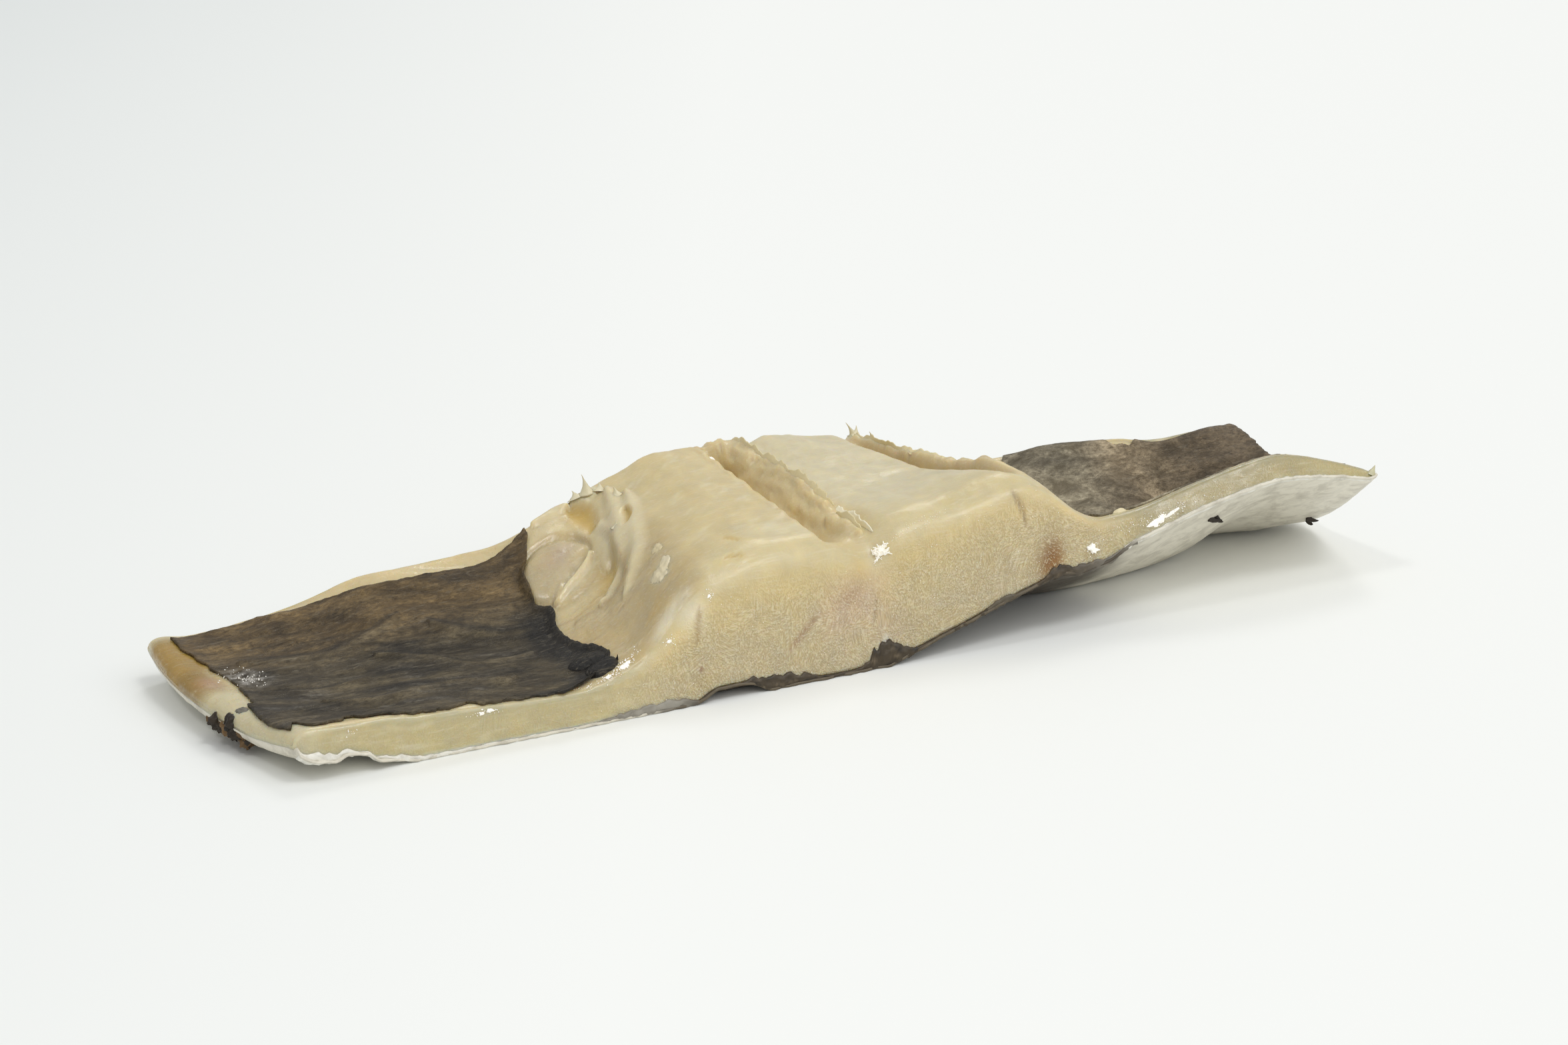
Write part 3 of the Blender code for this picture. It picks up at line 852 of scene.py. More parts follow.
def paint_face(tint, across, height, full):
    """Colours of the cut face."""
    share = height / full
    loin = loin_share(across)
    tint = toward(tint, GREYISH, 0.8 * loin * ease(-share, -0.6, -0.2))
    tint = toward(tint, OCHRE, 0.7 * loin * ease(share, 0.45, 0.75))
    # The top of the cut face takes the same edge tone, darkened by painted shade.
    tint = toward(tint, EDGE_WITH_PAINTED_SHADE, loin * ease(share, 0.68, 0.98))
    tint = toward(tint, np.array((0.76, 0.71, 0.55)), 0.8 * spot((-68, 28), (8, 11), across, height, 25.0))
    tint = toward(tint, PINK, 0.8 * spot((-8, 22), (24, 14), across, height, 20.0))
    tint = toward(tint, PINK, 0.35 * spot((4, 12), (14, 14), across, height))
    tint = toward(tint, BLOOD, 0.55 * stroke(((-21, 20.5), (-27, 17), (-31, 13.5), (-34.5, 11)), 1.6,
                                             across, height))
    tint = toward(tint, BLOOD, 0.28 * spot((-9, 24.5), (8, 4), across, height, 25.0))
    tint = toward(tint, BROWN, 0.5 * stroke(((-65.2, 29.5), (-66.2, 25), (-67.6, 18)), 2.4, across, height))
    tint = toward(tint, BROWN, 0.55 * stroke(((62, 34), (62.7, 30), (64, 25), (64.8, 20)), 2.0,
                                             across, height))
    tint = toward(tint, BROWN, 0.6 * spot((71.5, 7), (13, 10), across, height, 60.0))
    tint = toward(tint, np.array((0.24, 0.105, 0.012)), 1.2 * spot((72.5, 5.5), (9, 7), across, height, 60.0))
    tint = toward(tint, OCHRE * 0.8, 0.6 * spot((-67, 6), (9, 4), across, height))
    tint = toward(tint, AMBER, 0.35 * spot((-3, 34), (5, 7), across, height))
    tint = toward(tint, BROWN, 0.35 * stroke(((2, 24), (0.5, 19), (-1.4, 13)), 0.9, across, height))
    for place in ((0.5, 10.6), (-22.2, 8.2), (-67.3, 10.3)):
        tint = toward(tint, BLOOD, 0.9 * spot(place, (1.1, 1.1), across, height))
    return toward(tint, WHITE, 0.6 * spot((3, 8.4), (2.2, 3.0), across, height))


def paint_flap_edge(tint, across, height, full):
    """Colours of the flaps' thin cut edges, which light shines through."""
    share = height / full
    flap = 1.0 - loin_share(across)
    tint = toward(tint, np.array((0.53, 0.46, 0.26)), 0.9 * flap)
    right = ease(across, 84.0, 112.0)
    tint = toward(tint, np.array((0.35, 0.295, 0.145)), 0.9 * right * ease(-across, -198.0, -150.0))
    tint = toward(tint, np.array((0.45, 0.39, 0.20)), 0.9 * ease(across, 150.0, 190.0))
    tint = toward(tint, GLASSY * 0.75, 0.8 * right * ease(share, 0.55, 0.95))
    tint = toward(tint, GLASSY, 0.7 * flap * (1.0 - right) * ease(share, 0.7, 0.95))
    tint = toward(tint, WHITE, 0.75 * flap * ease(-share, -0.16, -0.06))
    return toward(tint, PALE, 0.5 * flap * ease(grain(45, (9, 3, 1), across, height), 0.2, 0.8))


def paint_flesh(across, inward, height, full, facing_top, facing_cut):
    """Colours of the whole flesh."""
    count = len(across)
    base = np.broadcast_to(FLESH, (count, 3))
    top = paint_flank(paint_top(base, across, inward), across, inward)
    face = paint_flap_edge(paint_face(base, across, height, full), across, height, full)
    weight = (facing_cut / np.maximum(facing_cut + facing_top, 1e-6))[:, None]
    tint = top * (1.0 - weight) + face * weight
    tint = paint_rim(tint, across, inward, height)
    mottle = rough(51, (9, 9, 9), across, inward, height)
    return tint * (1.0 + 0.07 * mottle)[:, None]


def paint_rim(tint, across, inward, height):
    """The rim of the left flap: pale at both corners, amber and brown between."""
    rim = ease(-across, 187.0, 193.0)
    tint = toward(tint, np.array((0.55, 0.50, 0.33)), 0.9 * rim)
    patches = 0.5 + 0.9 * grain(53, (5, 5, 3), across, inward, height)
    amber = rim * ease(inward, 44.0, 56.0) * ease(-inward, -98.0, -90.0)
    tint = toward(tint, np.array((0.25, 0.15, 0.015)), 0.97 * amber * np.clip(patches + 0.7, 0.0, 1.0))
    inner = ease(-across, 183.0, 189.0) * ease(inward, 62.0, 72.0) * ease(-inward, -96.0, -90.0)
    tint = toward(tint, np.array((0.33, 0.21, 0.04)), 0.9 * inner)
    tint = toward(tint, np.array((0.18, 0.09, 0.02)), 0.8 * amber * ease(-height, -7.0, -2.0) * patches)
    tint = toward(tint, np.array((0.42, 0.25, 0.17)), 0.6 * rim * spot((-192, 56), (8, 9), across, inward))
    dark = spot((-199, 33), (16, 14), across, inward) * ease(-height, -9.0, -4.0)
    tint = toward(tint, np.array((0.10, 0.07, 0.035)), 0.95 * rim * dark)
    return toward(tint, WHITE, 0.8 * rim * spot((-199, 56), (14, 12), across, inward) * ease(-height, -3.5, -2))


# ---------------------------------------------------------------- shader helpers


def new_material(name):
    """An empty node material with its shader and output, and the place in millimetres."""
    material = bpy.data.materials.new(name)
    material.use_nodes = True
    tree = material.node_tree
    shader = tree.nodes["Principled BSDF"]
    where = tree.nodes.new("ShaderNodeTexCoord").outputs["Object"]
    return material, tree, shader, maths(tree, "SCALE", where, scale=1.0 / MM)


def connect(tree, socket, value):
    """Link a socket to another, or set its value."""
    if isinstance(value, bpy.types.NodeSocket):
        tree.links.new(value, socket)
    else:
        socket.default_value = value


def maths(tree, operation, first, second=None, scale=None):
    """Vector arithmetic."""
    node = tree.nodes.new("ShaderNodeVectorMath")
    node.operation = operation
    connect(tree, node.inputs[0], first)
    if second is not None:
        connect(tree, node.inputs[1], second)
    if scale is not None:
        node.inputs["Scale"].default_value = scale
    return node.outputs["Vector"]


def number(tree, operation, first, second):
    """Arithmetic of two numbers."""
    node = tree.nodes.new("ShaderNodeMath")
    node.operation = operation
    connect(tree, node.inputs[0], first)
    connect(tree, node.inputs[1], second)
    return node.outputs["Value"]


def amount_of(tree, label):
    """A number painted on the mesh."""
    node = tree.nodes.new("ShaderNodeAttribute")
    node.attribute_name = label
    return node.outputs["Fac"]


def tint_of(tree):
    """The colour painted on the mesh."""
    node = tree.nodes.new("ShaderNodeAttribute")
    node.attribute_name = "tint"
    return node.outputs["Color"]


def noise(tree, where, size, detail=2.0, roughness=0.5, distortion=0.0):
    """Noise with lumps of about the size given for each axis, in millimetres."""
    stretched = maths(tree, "DIVIDE", where, size)
    node = tree.nodes.new("ShaderNodeTexNoise")
    connect(tree, node.inputs["Vector"], stretched)
    node.inputs["Scale"].default_value = 1.0
    node.inputs["Detail"].default_value = detail
    node.inputs["Roughness"].default_value = roughness
    node.inputs["Distortion"].default_value = distortion
    return node.outputs["Fac"]


def ramp(tree, value, low, high, bottom=0.0, top=1.0):
    """A value between low and high, turned into one between bottom and top."""
    node = tree.nodes.new("ShaderNodeMapRange")
    connect(tree, node.inputs["Value"], value)
    node.inputs["From Min"].default_value = low
    node.inputs["From Max"].default_value = high
    node.inputs["To Min"].default_value = bottom
    node.inputs["To Max"].default_value = top
    return node.outputs["Result"]


def mix(tree, share, first, second, kind="MIX"):
    """Two colours mixed."""
    node = tree.nodes.new("ShaderNodeMix")
    node.data_type = "RGBA"
    node.blend_type = kind
    connect(tree, node.inputs["Factor"], share)
    connect(tree, node.inputs["A"], first)
    connect(tree, node.inputs["B"], second)
    return node.outputs["Result"]


def curls(tree, where, patch, length, width, shift):
    """Short strands that lie in a different direction in each small patch."""
    moved = maths(tree, "ADD", where, shift)
    patches = tree.nodes.new("ShaderNodeTexVoronoi")
    patches.inputs["Scale"].default_value = 1.0 / patch
    connect(tree, patches.inputs["Vector"], moved)
    turn = maths(tree, "SCALE", patches.outputs["Color"], scale=2.0 * np.pi)
    rotate = tree.nodes.new("ShaderNodeVectorRotate")
    rotate.rotation_type = "EULER_XYZ"
    connect(tree, rotate.inputs["Vector"], moved)
    connect(tree, rotate.inputs["Rotation"], turn)
    return noise(tree, rotate.outputs["Vector"], (length, width, width), detail=0.0)


def bump(tree, shader, height, distance, after=None):
    """Bump of a height from 0 to 1, in millimetres."""
    node = tree.nodes.new("ShaderNodeBump")
    node.inputs["Distance"].default_value = distance * MM
    connect(tree, node.inputs["Height"], height)
    if after is not None:
        connect(tree, node.inputs["Normal"], after)
    connect(tree, shader.inputs["Normal"], node.outputs["Normal"])
    return node.outputs["Normal"]


# ---------------------------------------------------------------- materials


def flesh_material(name, glow):
    """Pale salted flesh: short curly fibres on the cuts, smooth and moist on the inner side."""
    material, tree, shader, where = new_material(name)
    fibre = amount_of(tree, "fibre")
    first = curls(tree, where, 8.0, 11.0, 0.52, (0.0, 0.0, 0.0))
    second = curls(tree, where, 5.5, 8.0, 0.40, (11.3, 7.1, 5.9))
    strands = ramp(tree, number(tree, "ADD", first, second), 0.72, 1.30)
    light = number(tree, "MULTIPLY", fibre, ramp(tree, strands, 0.55, 1.0, 0.0, 0.45))
    dark = number(tree, "MULTIPLY", fibre, ramp(tree, strands, 0.45, 0.0, 0.0, 0.34))
    tint = tint_of(tree)
    colour = mix(tree, light, tint, (0.80, 0.73, 0.54, 1.0))
    colour = mix(tree, dark, colour, (0.34, 0.23, 0.11, 1.0))
    clouds = noise(tree, where, (7.0, 7.0, 7.0), detail=4.0, roughness=0.6)
    colour = mix(tree, ramp(tree, clouds, 0.35, 0.7, 0.0, 0.35), colour, (0.72, 0.62, 0.38, 1.0), "SOFT_LIGHT")
    threads = noise(tree, where, (11.0, 0.8, 0.8), detail=3.0, distortion=0.4)
    colour = mix(tree, ramp(tree, threads, 0.55, 0.8, 0.0, 0.25), colour, (0.80, 0.76, 0.62, 1.0))
    connect(tree, shader.inputs["Base Color"], colour)
    wet = amount_of(tree, "wet")
    patchy = noise(tree, where, (3.0, 3.0, 3.0), detail=3.0)
    gloss = number(tree, "MULTIPLY", wet, ramp(tree, patchy, 0.3, 0.7, 0.1, 0.34))
    connect(tree, shader.inputs["Roughness"], number(tree, "SUBTRACT", 0.48, gloss))
    shader.inputs["Subsurface Weight"].default_value = glow
    shader.inputs["Subsurface Radius"].default_value = (1.0, 0.66, 0.30)
    shader.inputs["Subsurface Scale"].default_value = 4.0 * MM
    shader.inputs["Coat Weight"].default_value = 0.15
    shader.inputs["Coat Roughness"].default_value = 0.15
    furry = number(tree, "MULTIPLY", strands, fibre)
    first_bump = bump(tree, shader, furry, 0.22)
    fine = noise(tree, where, (1.6, 1.6, 1.6), detail=4.0)
    bump(tree, shader, fine, 0.12, first_bump)
    return material


def lining_material():
    """The thin lining of the belly: a dark, dry membrane with soft mottling and fine creases."""
    material, tree, shader, where = new_material("belly_lining")
    broad = noise(tree, where, (15.0, 8.0, 8.0), detail=6.0, roughness=0.68, distortion=0.9)
    small = noise(tree, where, (2.4, 1.4, 1.4), detail=6.0, roughness=0.75)
    tint = tint_of(tree)
    light = mix(tree, 1.0, tint, (2.1, 2.1, 2.15, 1.0), "MULTIPLY")
    dark = mix(tree, 1.0, tint, (0.36, 0.33, 0.28, 1.0), "MULTIPLY")
    colour = mix(tree, ramp(tree, broad, 0.36, 0.64), dark, light)
    colour = mix(tree, ramp(tree, small, 0.34, 0.66, 0.0, 0.75), dark, colour)
    lines = noise(tree, where, (13.0, 0.8, 0.8), detail=4.0, roughness=0.6, distortion=0.8)
    colour = mix(tree, ramp(tree, lines, 0.56, 0.78, 0.0, 0.5), colour, (0.25, 0.215, 0.15, 1.0))
    film = noise(tree, where, (9.0, 3.0, 3.0), detail=7.0, roughness=0.75, distortion=1.2)
    colour = mix(tree, ramp(tree, film, 0.58, 0.76, 0.0, 0.55), colour, (0.28, 0.25, 0.19, 1.0))
    connect(tree, shader.inputs["Base Color"], colour)
    gloss = noise(tree, where, (6.0, 3.0, 3.0), detail=4.0)
    connect(tree, shader.inputs["Roughness"], ramp(tree, gloss, 0.3, 0.7, 0.24, 0.5))
    shader.inputs["Specular IOR Level"].default_value = 0.3
    creases = bump(tree, shader, broad, 1.1)
    long_ridges = bump(tree, shader, lines, 0.25, creases)
    bump(tree, shader, small, 0.45, long_ridges)
    return material


def skin_material():
    """Wet fish skin, smooth and softly mottled."""
    material, tree, shader, where = new_material("fish_skin")
    tint = tint_of(tree)
    mottle = noise(tree, where, (7.0, 6.0, 6.0), detail=5.0, roughness=0.65, distortion=0.5)
    dark = mix(tree, 1.0, tint, (0.55, 0.52, 0.47, 1.0), "MULTIPLY")
    light = mix(tree, 1.0, tint, (1.25, 1.25, 1.25, 1.0), "MULTIPLY")
    colour = mix(tree, ramp(tree, mottle, 0.36, 0.56), dark, light)
    connect(tree, shader.inputs["Base Color"], mix(tree, 0.4, tint, colour))
    shader.inputs["Roughness"].default_value = 0.4
    shader.inputs["Specular IOR Level"].default_value = 0.35
    scales = tree.nodes.new("ShaderNodeTexVoronoi")
    scales.inputs["Scale"].default_value = 1.0 / 1.3
    connect(tree, scales.inputs["Vector"], where)
    ridges = bump(tree, shader, scales.outputs["Distance"], 0.05)
    fine = noise(tree, where, (3.0, 2.4, 3.0), detail=5.0, roughness=0.6)
    bump(tree, shader, fine, 0.25, ridges)
    return material


def glowing_salt_material():
    """White salt with a faint painted glow of its own, which lifts its shaded sides."""
    material, tree, shader, where = new_material("salt")
    cloud = noise(tree, where, (0.8, 0.8, 0.8), detail=3.0)
    colour = mix(tree, ramp(tree, cloud, 0.3, 0.7), (0.95, 0.91, 0.81, 1.0), (1.0, 0.98, 0.92, 1.0))
    connect(tree, shader.inputs["Base Color"], colour)
    # Painted light: the salt glows faintly in its own colour, though it is no lamp.
    connect(tree, shader.inputs["Emission Color"], colour)
    shader.inputs["Emission Strength"].default_value = 0.14
    connect(tree, shader.inputs["Roughness"], ramp(tree, cloud, 0.3, 0.7, 0.35, 0.6))
    bump(tree, shader, noise(tree, where, (0.9, 0.9, 0.9), detail=3.0), 0.08)
    return material


# ---------------------------------------------------------------- pieces


def flesh_places():
    """Box places of the flesh's mesh: close together over the loins and at the edges."""
    ends = np.array((0.0, 0.4, 1.0, 1.9, 3.0, 4.3, 5.6))
    across = np.concatenate([
        LEFT_END + ends, spread(LEFT_END + 7.0, -108.0, 2.0), spread(-108.0, -56.0, 0.62),
        spread(-56.0, 92.0, 1.1), spread(92.0, RIGHT_END - 7.0, 2.0), [RIGHT_END - 7.0],
        RIGHT_END - ends[::-1]])
    edge = np.array((0.0, 0.006, 0.013, 0.022, 0.033))
    along = np.concatenate([edge, np.linspace(0.045, 0.955, 96), 1.0 - edge[::-1]])
    low = np.array((0.0, 0.02, 0.05))
    up = np.concatenate([low, np.linspace(0.085, 0.915, 20), 1.0 - low[::-1]])
    return across, along, up


def make_flesh(setting, material):
    """The whole flesh, as one closed mesh that stands for the solid."""
    grid, quads = box_nodes(flesh_places())
    across, along, up = grid.T
    inward = along * span(across)
    full = thickness(across, inward)
    height = up * full
    inside, risen = rounded(across, inward, height)
    points = point(across, inside, risen)
    normals = vertex_normals(points, quads)
    facing_top = np.clip(normals[:, 2], 0.0, 1.0) * ease(up, 0.5, 0.8)
    facing_cut = np.clip(np.abs(normals[:, 1]), 0.0, 1.0) * (1.0 - 0.8 * ease(along, 0.05, 0.1)
                                                              * ease(-along, -0.95, -0.9))
    near_cut = (along < 0.02) | (along > 0.98)
    facing_cut = np.where(near_cut | (up < 0.99), facing_cut, 0.0)
    total = np.maximum(facing_top + facing_cut, 1e-6)
    top_share = np.where(up > 0.99, facing_top / total, 0.0)
    cut_share = np.where(near_cut, facing_cut / total, 0.0)
    relief = top_share * top_relief(across, inward) + cut_share * face_relief(across, height)
    relief = relief - 0.9 * ease(-up, -0.03, 0.0)
    points = points + normals * relief[:, None]
    points[:, 2] = np.maximum(points[:, 2], 0.6)
    points[:, 2] += hem(across, inward) * np.clip(1.0 - height / 12.0, 0.0, 1.0)
    points[:, 2] = np.maximum(points[:, 2], 0.6)
    tint = paint_flesh(across, inward, height, full, top_share, cut_share)
    shown = 1.0 - 0.85 * ease(height / full, 0.55, 0.92)
    fibre = cut_share * shown * (0.25 + 0.75 * loin_share(across)) + top_share * 0.06
    whole = part(setting.frame(points), quads, tint, fibre, wetness(across, inward))
    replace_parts(mesh_piece("flesh", [whole], material), NODE)


def wetness(across, inward):
    """How moist the inner side is."""
    patches = 0.3 * grain(54, (4, 4, 1), across, inward)
    wet = 0.3 + 0.5 * (1.0 - loin_share(across)) + 0.4 * spot((-85, 50), (32, 70), across, inward)
    return np.clip(wet + patches, 0.0, 1.0)


def sheet(setting, upper, lower, tint, fibre=0.0, wet=0.5):
    """A thin closed part between two grids of points."""
    rows, columns = upper.shape[:2]
    points = np.concatenate([upper.reshape(-1, 3), lower.reshape(-1, 3)])

    def doubled(value, width):
        flat = np.broadcast_to(value, (rows, columns) + width).reshape((rows * columns,) + width)
        return np.concatenate([flat, flat])

    return part(setting.frame(points), sheet_faces(rows, columns), doubled(tint, (3,)),
                doubled(fibre, ()), doubled(wet, ()))


def lining(setting, name, left, right, front, back, material, seed, tear, scallop):
    """A thin sheet on the inner side, between four ragged margins."""
    rows, columns = 150, 110
    s, t = np.meshgrid(np.linspace(0, 1, rows) ** 0.9, np.linspace(0, 1, columns), indexing="ij")
    ragged_side = rough(seed, (3.5, 1, 1), t * 98.0, 0.0, octaves=3)
    ragged_front = rough(seed + 5, (4.0, 1, 1), s * 100.0, 3.0, octaves=4)
    ragged_back = rough(seed + 9, (5.0, 1, 1), s * 100.0, 9.0, octaves=3)
    low = curve(left, t * 98.0) + 0.5 * rough(seed + 3, (5, 1, 1), t * 98.0, 5.0)
    high = curve(right, t * 98.0) + tear * ragged_side
    across = low + s * (high - low)
    scallops = rough(seed + 12, (10.0, 1, 1), s * 100.0, 2.0, octaves=2)
    near = curve(front, across) + 0.7 * ragged_front + scallop * scallops
    far = np.minimum(curve(back, across) + 0.7 * ragged_back, span(across) - 0.6)
    inward = np.maximum(near, 0.3) + t * (far - near)
    edge = np.minimum(np.minimum(s, 1.0 - s) * 9.0, np.minimum(t, 1.0 - t) * 9.0)
    lift = 0.62 + 0.3 * ease(-edge, -0.5, 0.0) + 0.9 * ease(s, 0.955, 1.0) * (1.0 + 0.5 * ragged_side)
    wrinkles = lining_wrinkles(across, inward, seed)
    upper = on_top(across, inward, lift + wrinkles)
    lower = on_top(across, inward, lift + wrinkles - 0.8)
    whole = sheet(setting, upper, lower, paint_lining(across, inward, s))
    mesh_piece(name, [whole], material)


def lining_wrinkles(across, inward, seed):
    """Low wrinkles along the belly."""
    swept = inward + 1.5 * grain(seed + 30, (25, 9, 1), across, inward)
    return np.maximum(0.20 * grain(seed + 31, (26, 2.6, 1), across, swept)
                      + 0.06 * grain(seed + 33, (2.0, 1.2, 1), across, inward), -0.12)


# Folds of the left lining, with painted shade on their far side and a painted highlight in front, as (places,
# width).
LINING_FOLDS = (
    (((-152, 58.8), (-138, 50.3), (-127, 35.6), (-111, 37.6)), 3.0),
    (((-132, 69.8), (-124, 60.8), (-114, 56.6), (-106, 56.7)), 3.4),
    (((-182, 70), (-165, 66), (-150, 70), (-138, 76)), 3.6),
    (((-176, 28), (-160, 21), (-140, 24), (-122, 19)), 2.6),
    (((-186, 44), (-172, 40), (-158, 42)), 2.2),
)


def paint_lining(across, inward, s):
    """Brown at the back, grey towards the front and nearly black at the torn edge."""
    tint = np.broadcast_to(LINING_GREY, across.shape + (3,))
    tint = toward(tint, np.array((0.165, 0.112, 0.046)), ease(inward, 52.0, 82.0))
    tint = toward(tint, LINING_GREY * 1.45, 0.7 * ease(-inward, -28.0, -4.0))
    # The right lining is painted a lighter, more neutral grey: partly its own colour and partly painted sheen.
    right = ease(across, 0.0, 10.0)
    tint = toward(tint, np.array((0.32, 0.285, 0.20)), right)
    tint = toward(tint, np.array((0.35, 0.28, 0.18)), ease(across, 120.0, 150.0) * ease(inward, 40.0, 70.0))
    tint = toward(tint, np.array((0.16, 0.12, 0.07)), ease(across, 150.0, 180.0))
    clouds = rough(63, (26, 8, 1), across, inward + 0.2 * across, octaves=4)
    tint = tint * (1.0 + (0.85 - 0.45 * right) * np.clip(clouds, -0.9, 1.0))[..., None]
    deep = spot((-118, 40), (26, 13), across, inward, -40.0) + spot((-132, 24), (22, 8), across, inward)
    tint = toward(tint, LINING_BLACK * 2.0, 0.6 * deep * ease(clouds, -0.6, 0.3))
    glint = ease(rough(65, (14, 3.2, 1), across, inward + 0.3 * across, octaves=4), 0.3, 0.9)
    tint = toward(tint, np.array((0.20, 0.19, 0.165)), 0.5 * glint * ease(-inward, -60.0, -30.0) * (1.0 - right))
    # Painted shade along each fold's far side and a painted highlight just in front of it.
    for places, width in LINING_FOLDS:
        line = smooth_line(places, 14)
        tint = toward(tint, LINING_BLACK, 0.6 * stroke(line, width, across, inward))
        tint = toward(tint, LINING_GREY * 2.2, 0.5 * stroke(line, 0.7 * width, across, inward + 0.9 * width))
    torn = ease(s, 0.84, 0.92) * ease(-across, 0.0, 10.0)
    tint = toward(tint, LINING_BLACK, 0.9 * torn * ease(-inward, -70.0, -55.0))
    rub = spot((-184, 55), (8, 11), across, inward) * ease(grain(61, (2.2, 2.2, 1), across, inward), -0.3, 0.4)
    return toward(tint, np.array((0.55, 0.54, 0.51)), 1.3 * rub)


LEFT_LINING = {
    "left": ((0, -196.5), (8, -197), (22, -194.5), (30, -192), (40, -189.5), (57, -187.7), (68, -189),
             (80, -190), (90, -192), (98, -192.5)),
    "right": ((0, -113), (4, -103), (8, -96.5), (12, -93.5), (19, -94.5), (26, -97.6), (33, -99.7),
              (40, -100.6), (52, -100), (58, -98.5), (62, -99.5), (67, -102.5), (74, -102), (80, -101.9),
              (87, -98.8), (95, -94.8)),
    "front": ((-197, 4), (-194.5, 7), (-193, 9), (-191.4, 3.6), (-187, 2.4), (-181, 3.2), (-179, 6.5),
              (-177, 6.0), (-175, 3.0), (-168, 2.2), (-160, 1.0), (-150, 1.0), (-145, 2.8), (-142, 3.0),
              (-139, 1.2), (-124, 1.6), (-112, 0.8), (-94, 1.5)),
    "back": ((-192, 94), (-175, 95), (-160, 94.5), (-148, 93.3), (-133, 90.8), (-124, 90.2), (-112, 90.2),
             (-107, 91.2), (-101, 93.4), (-94, 95)),
}
RIGHT_LINING = {
    "left": ((0, 92), (30, 95), (60, 98), (85, 101), (98, 106)),
    "right": ((0, 190), (50, 195), (98, 196)),
    "front": ((88, 2.2), (98, 1.8), (112, 1.6), (126, 2.6), (160, 3.4), (190, 4.5)),
    "back": ((92, 97), (120, 96.5), (140, 96), (145, 93.5), (150, 93), (155, 96), (198, 96)),
}


# Thick black folds at the torn edge of the left lining, as (outline, height, seed).
LOBES = (
    (((-107, 17), (-101, 20.5), (-96, 19), (-93.6, 14), (-95, 11), (-101, 11.5), (-105, 12.5)), 2.6, 381),
    (((-104, 10), (-98, 11.6), (-93.4, 10.6), (-93.6, 6), (-98, 4.5)), 2.4, 382),
    (((-108, 30), (-103, 38), (-100.5, 34), (-100.5, 26), (-104, 23)), 1.1, 383),
    (((-112, 46), (-106, 52), (-101.5, 50), (-102, 42), (-108, 41)), 0.9, 384),
)


def make_lobes(setting, material):
    """Thick black folds at the torn edge of the left lining, one with a pointed tip."""
    parts = [pad(setting, on_top, outline, height, LINING_BLACK * 1.4, sharp=2.6, seed=seed, ragged=0.03)
             for outline, height, seed in LOBES]
    parts.append(tag(setting, (-94.6, 8.6), (1.6, 0.4, 3.0), 1.8, LINING_BLACK, 385))
    mesh_piece("lining_lobes", parts, material)


def make_linings(setting, material):
    """The dark lining on the inner side of both flaps."""
    make_lobes(setting, material)
    lining(setting, "lining_left", **LEFT_LINING, material=material, seed=70, tear=0.2, scallop=1.3)
    lining(setting, "lining_right", **RIGHT_LINING, material=material, seed=90, tear=0.8, scallop=0.3)


def make_skin(setting, material):
    """The skin under the whole piece, a thin sheet that stands a little proud of the cuts."""
    rows, columns = 300, 110
    s, t = np.meshgrid(np.linspace(0, 1, rows), np.linspace(0, 1, columns), indexing="ij")
    across = LEFT_END - 0.2 + s * (RIGHT_END - LEFT_END + 0.4)
    ragged = 0.5 + 0.7 * rough(101, (5, 1, 1), across, 0.0)
    ragged_back = 0.3 + 0.7 * rough(104, (5, 1, 1), across, 50.0)
    extra = 0.9 * ease(-across, 160.0, 175.0)
    start = -np.clip(ragged + extra, -0.3, 2.2)
    inward = start + t * (span(across) + np.clip(ragged_back, -0.4, 1.6) - start)
    lumps = 0.25 * grain(106, (6, 6, 1), across, inward) + 0.12 * grain(107, (2, 2, 1), across, inward)
    raise_by = hem(across, inward)
    lower = on_skin(across, inward, lumps - 0.1)
    upper = on_skin(across, inward, lumps - 0.9)
    lower[..., 2] = np.maximum(np.maximum(lower[..., 2], 0.02) + raise_by, 0.02)
    upper[..., 2] = np.maximum(upper[..., 2] + raise_by, lower[..., 2] + 0.75)
    mesh_piece("skin", [sheet(setting, upper, lower, paint_skin(across, inward))], material)


def skin_notch(across, inward):
    """How far the skin is tucked up off the table in front of the left loin."""
    return 3.6 * ease(-np.abs(across + 57.0), -14.0, -5.0) * ease(-inward, -7.0, 0.0)


def hem(across, inward):
    """How far the lower edge is tucked up, or hangs, along the front."""
    hang = -3.2 * ease(-np.abs(across - 87.0), -13.0, -3.0) * ease(-inward, -14.0, 0.0)
    gap = 2.2 * ease(-np.abs(across + 180.0), -7.0, -3.5) * ease(-inward, -9.0, -1.0)
    return skin_notch(across, inward) + hang + gap


def paint_skin(across, inward):
    """Dark and mottled under the loins, which were the back, and pale towards the belly."""
    tint = np.broadcast_to(SKIN_DARK, across.shape + (3,))
    wander = 9.0 * rough(111, (25, 25, 1), across, inward)
    pale_from = np.where(across > 0.0, 90.0, 74.0)
    tint = toward(tint, SKIN_PALE, ease(np.abs(across) + wander - pale_from, 0.0, 18.0))
    blots = ease(rough(113, (9, 7, 1), across, inward), 0.25, 0.8)
    tint = toward(tint, np.array((0.42, 0.38, 0.31)), 0.35 * blots * ease(np.abs(across), 80.0, 100.0))
    tint = toward(tint, SKIN_BLACK, 0.6 * ease(rough(115, (5, 5, 1), across, inward), 0.1, 0.7)
                  * ease(-np.abs(across), -100.0, -80.0))
    front = 0.7 * ease(-inward, -5.0, 0.0) * ease(-np.abs(across), -88.0, -70.0)
    return toward(tint, np.array((0.15, 0.12, 0.075)), front)


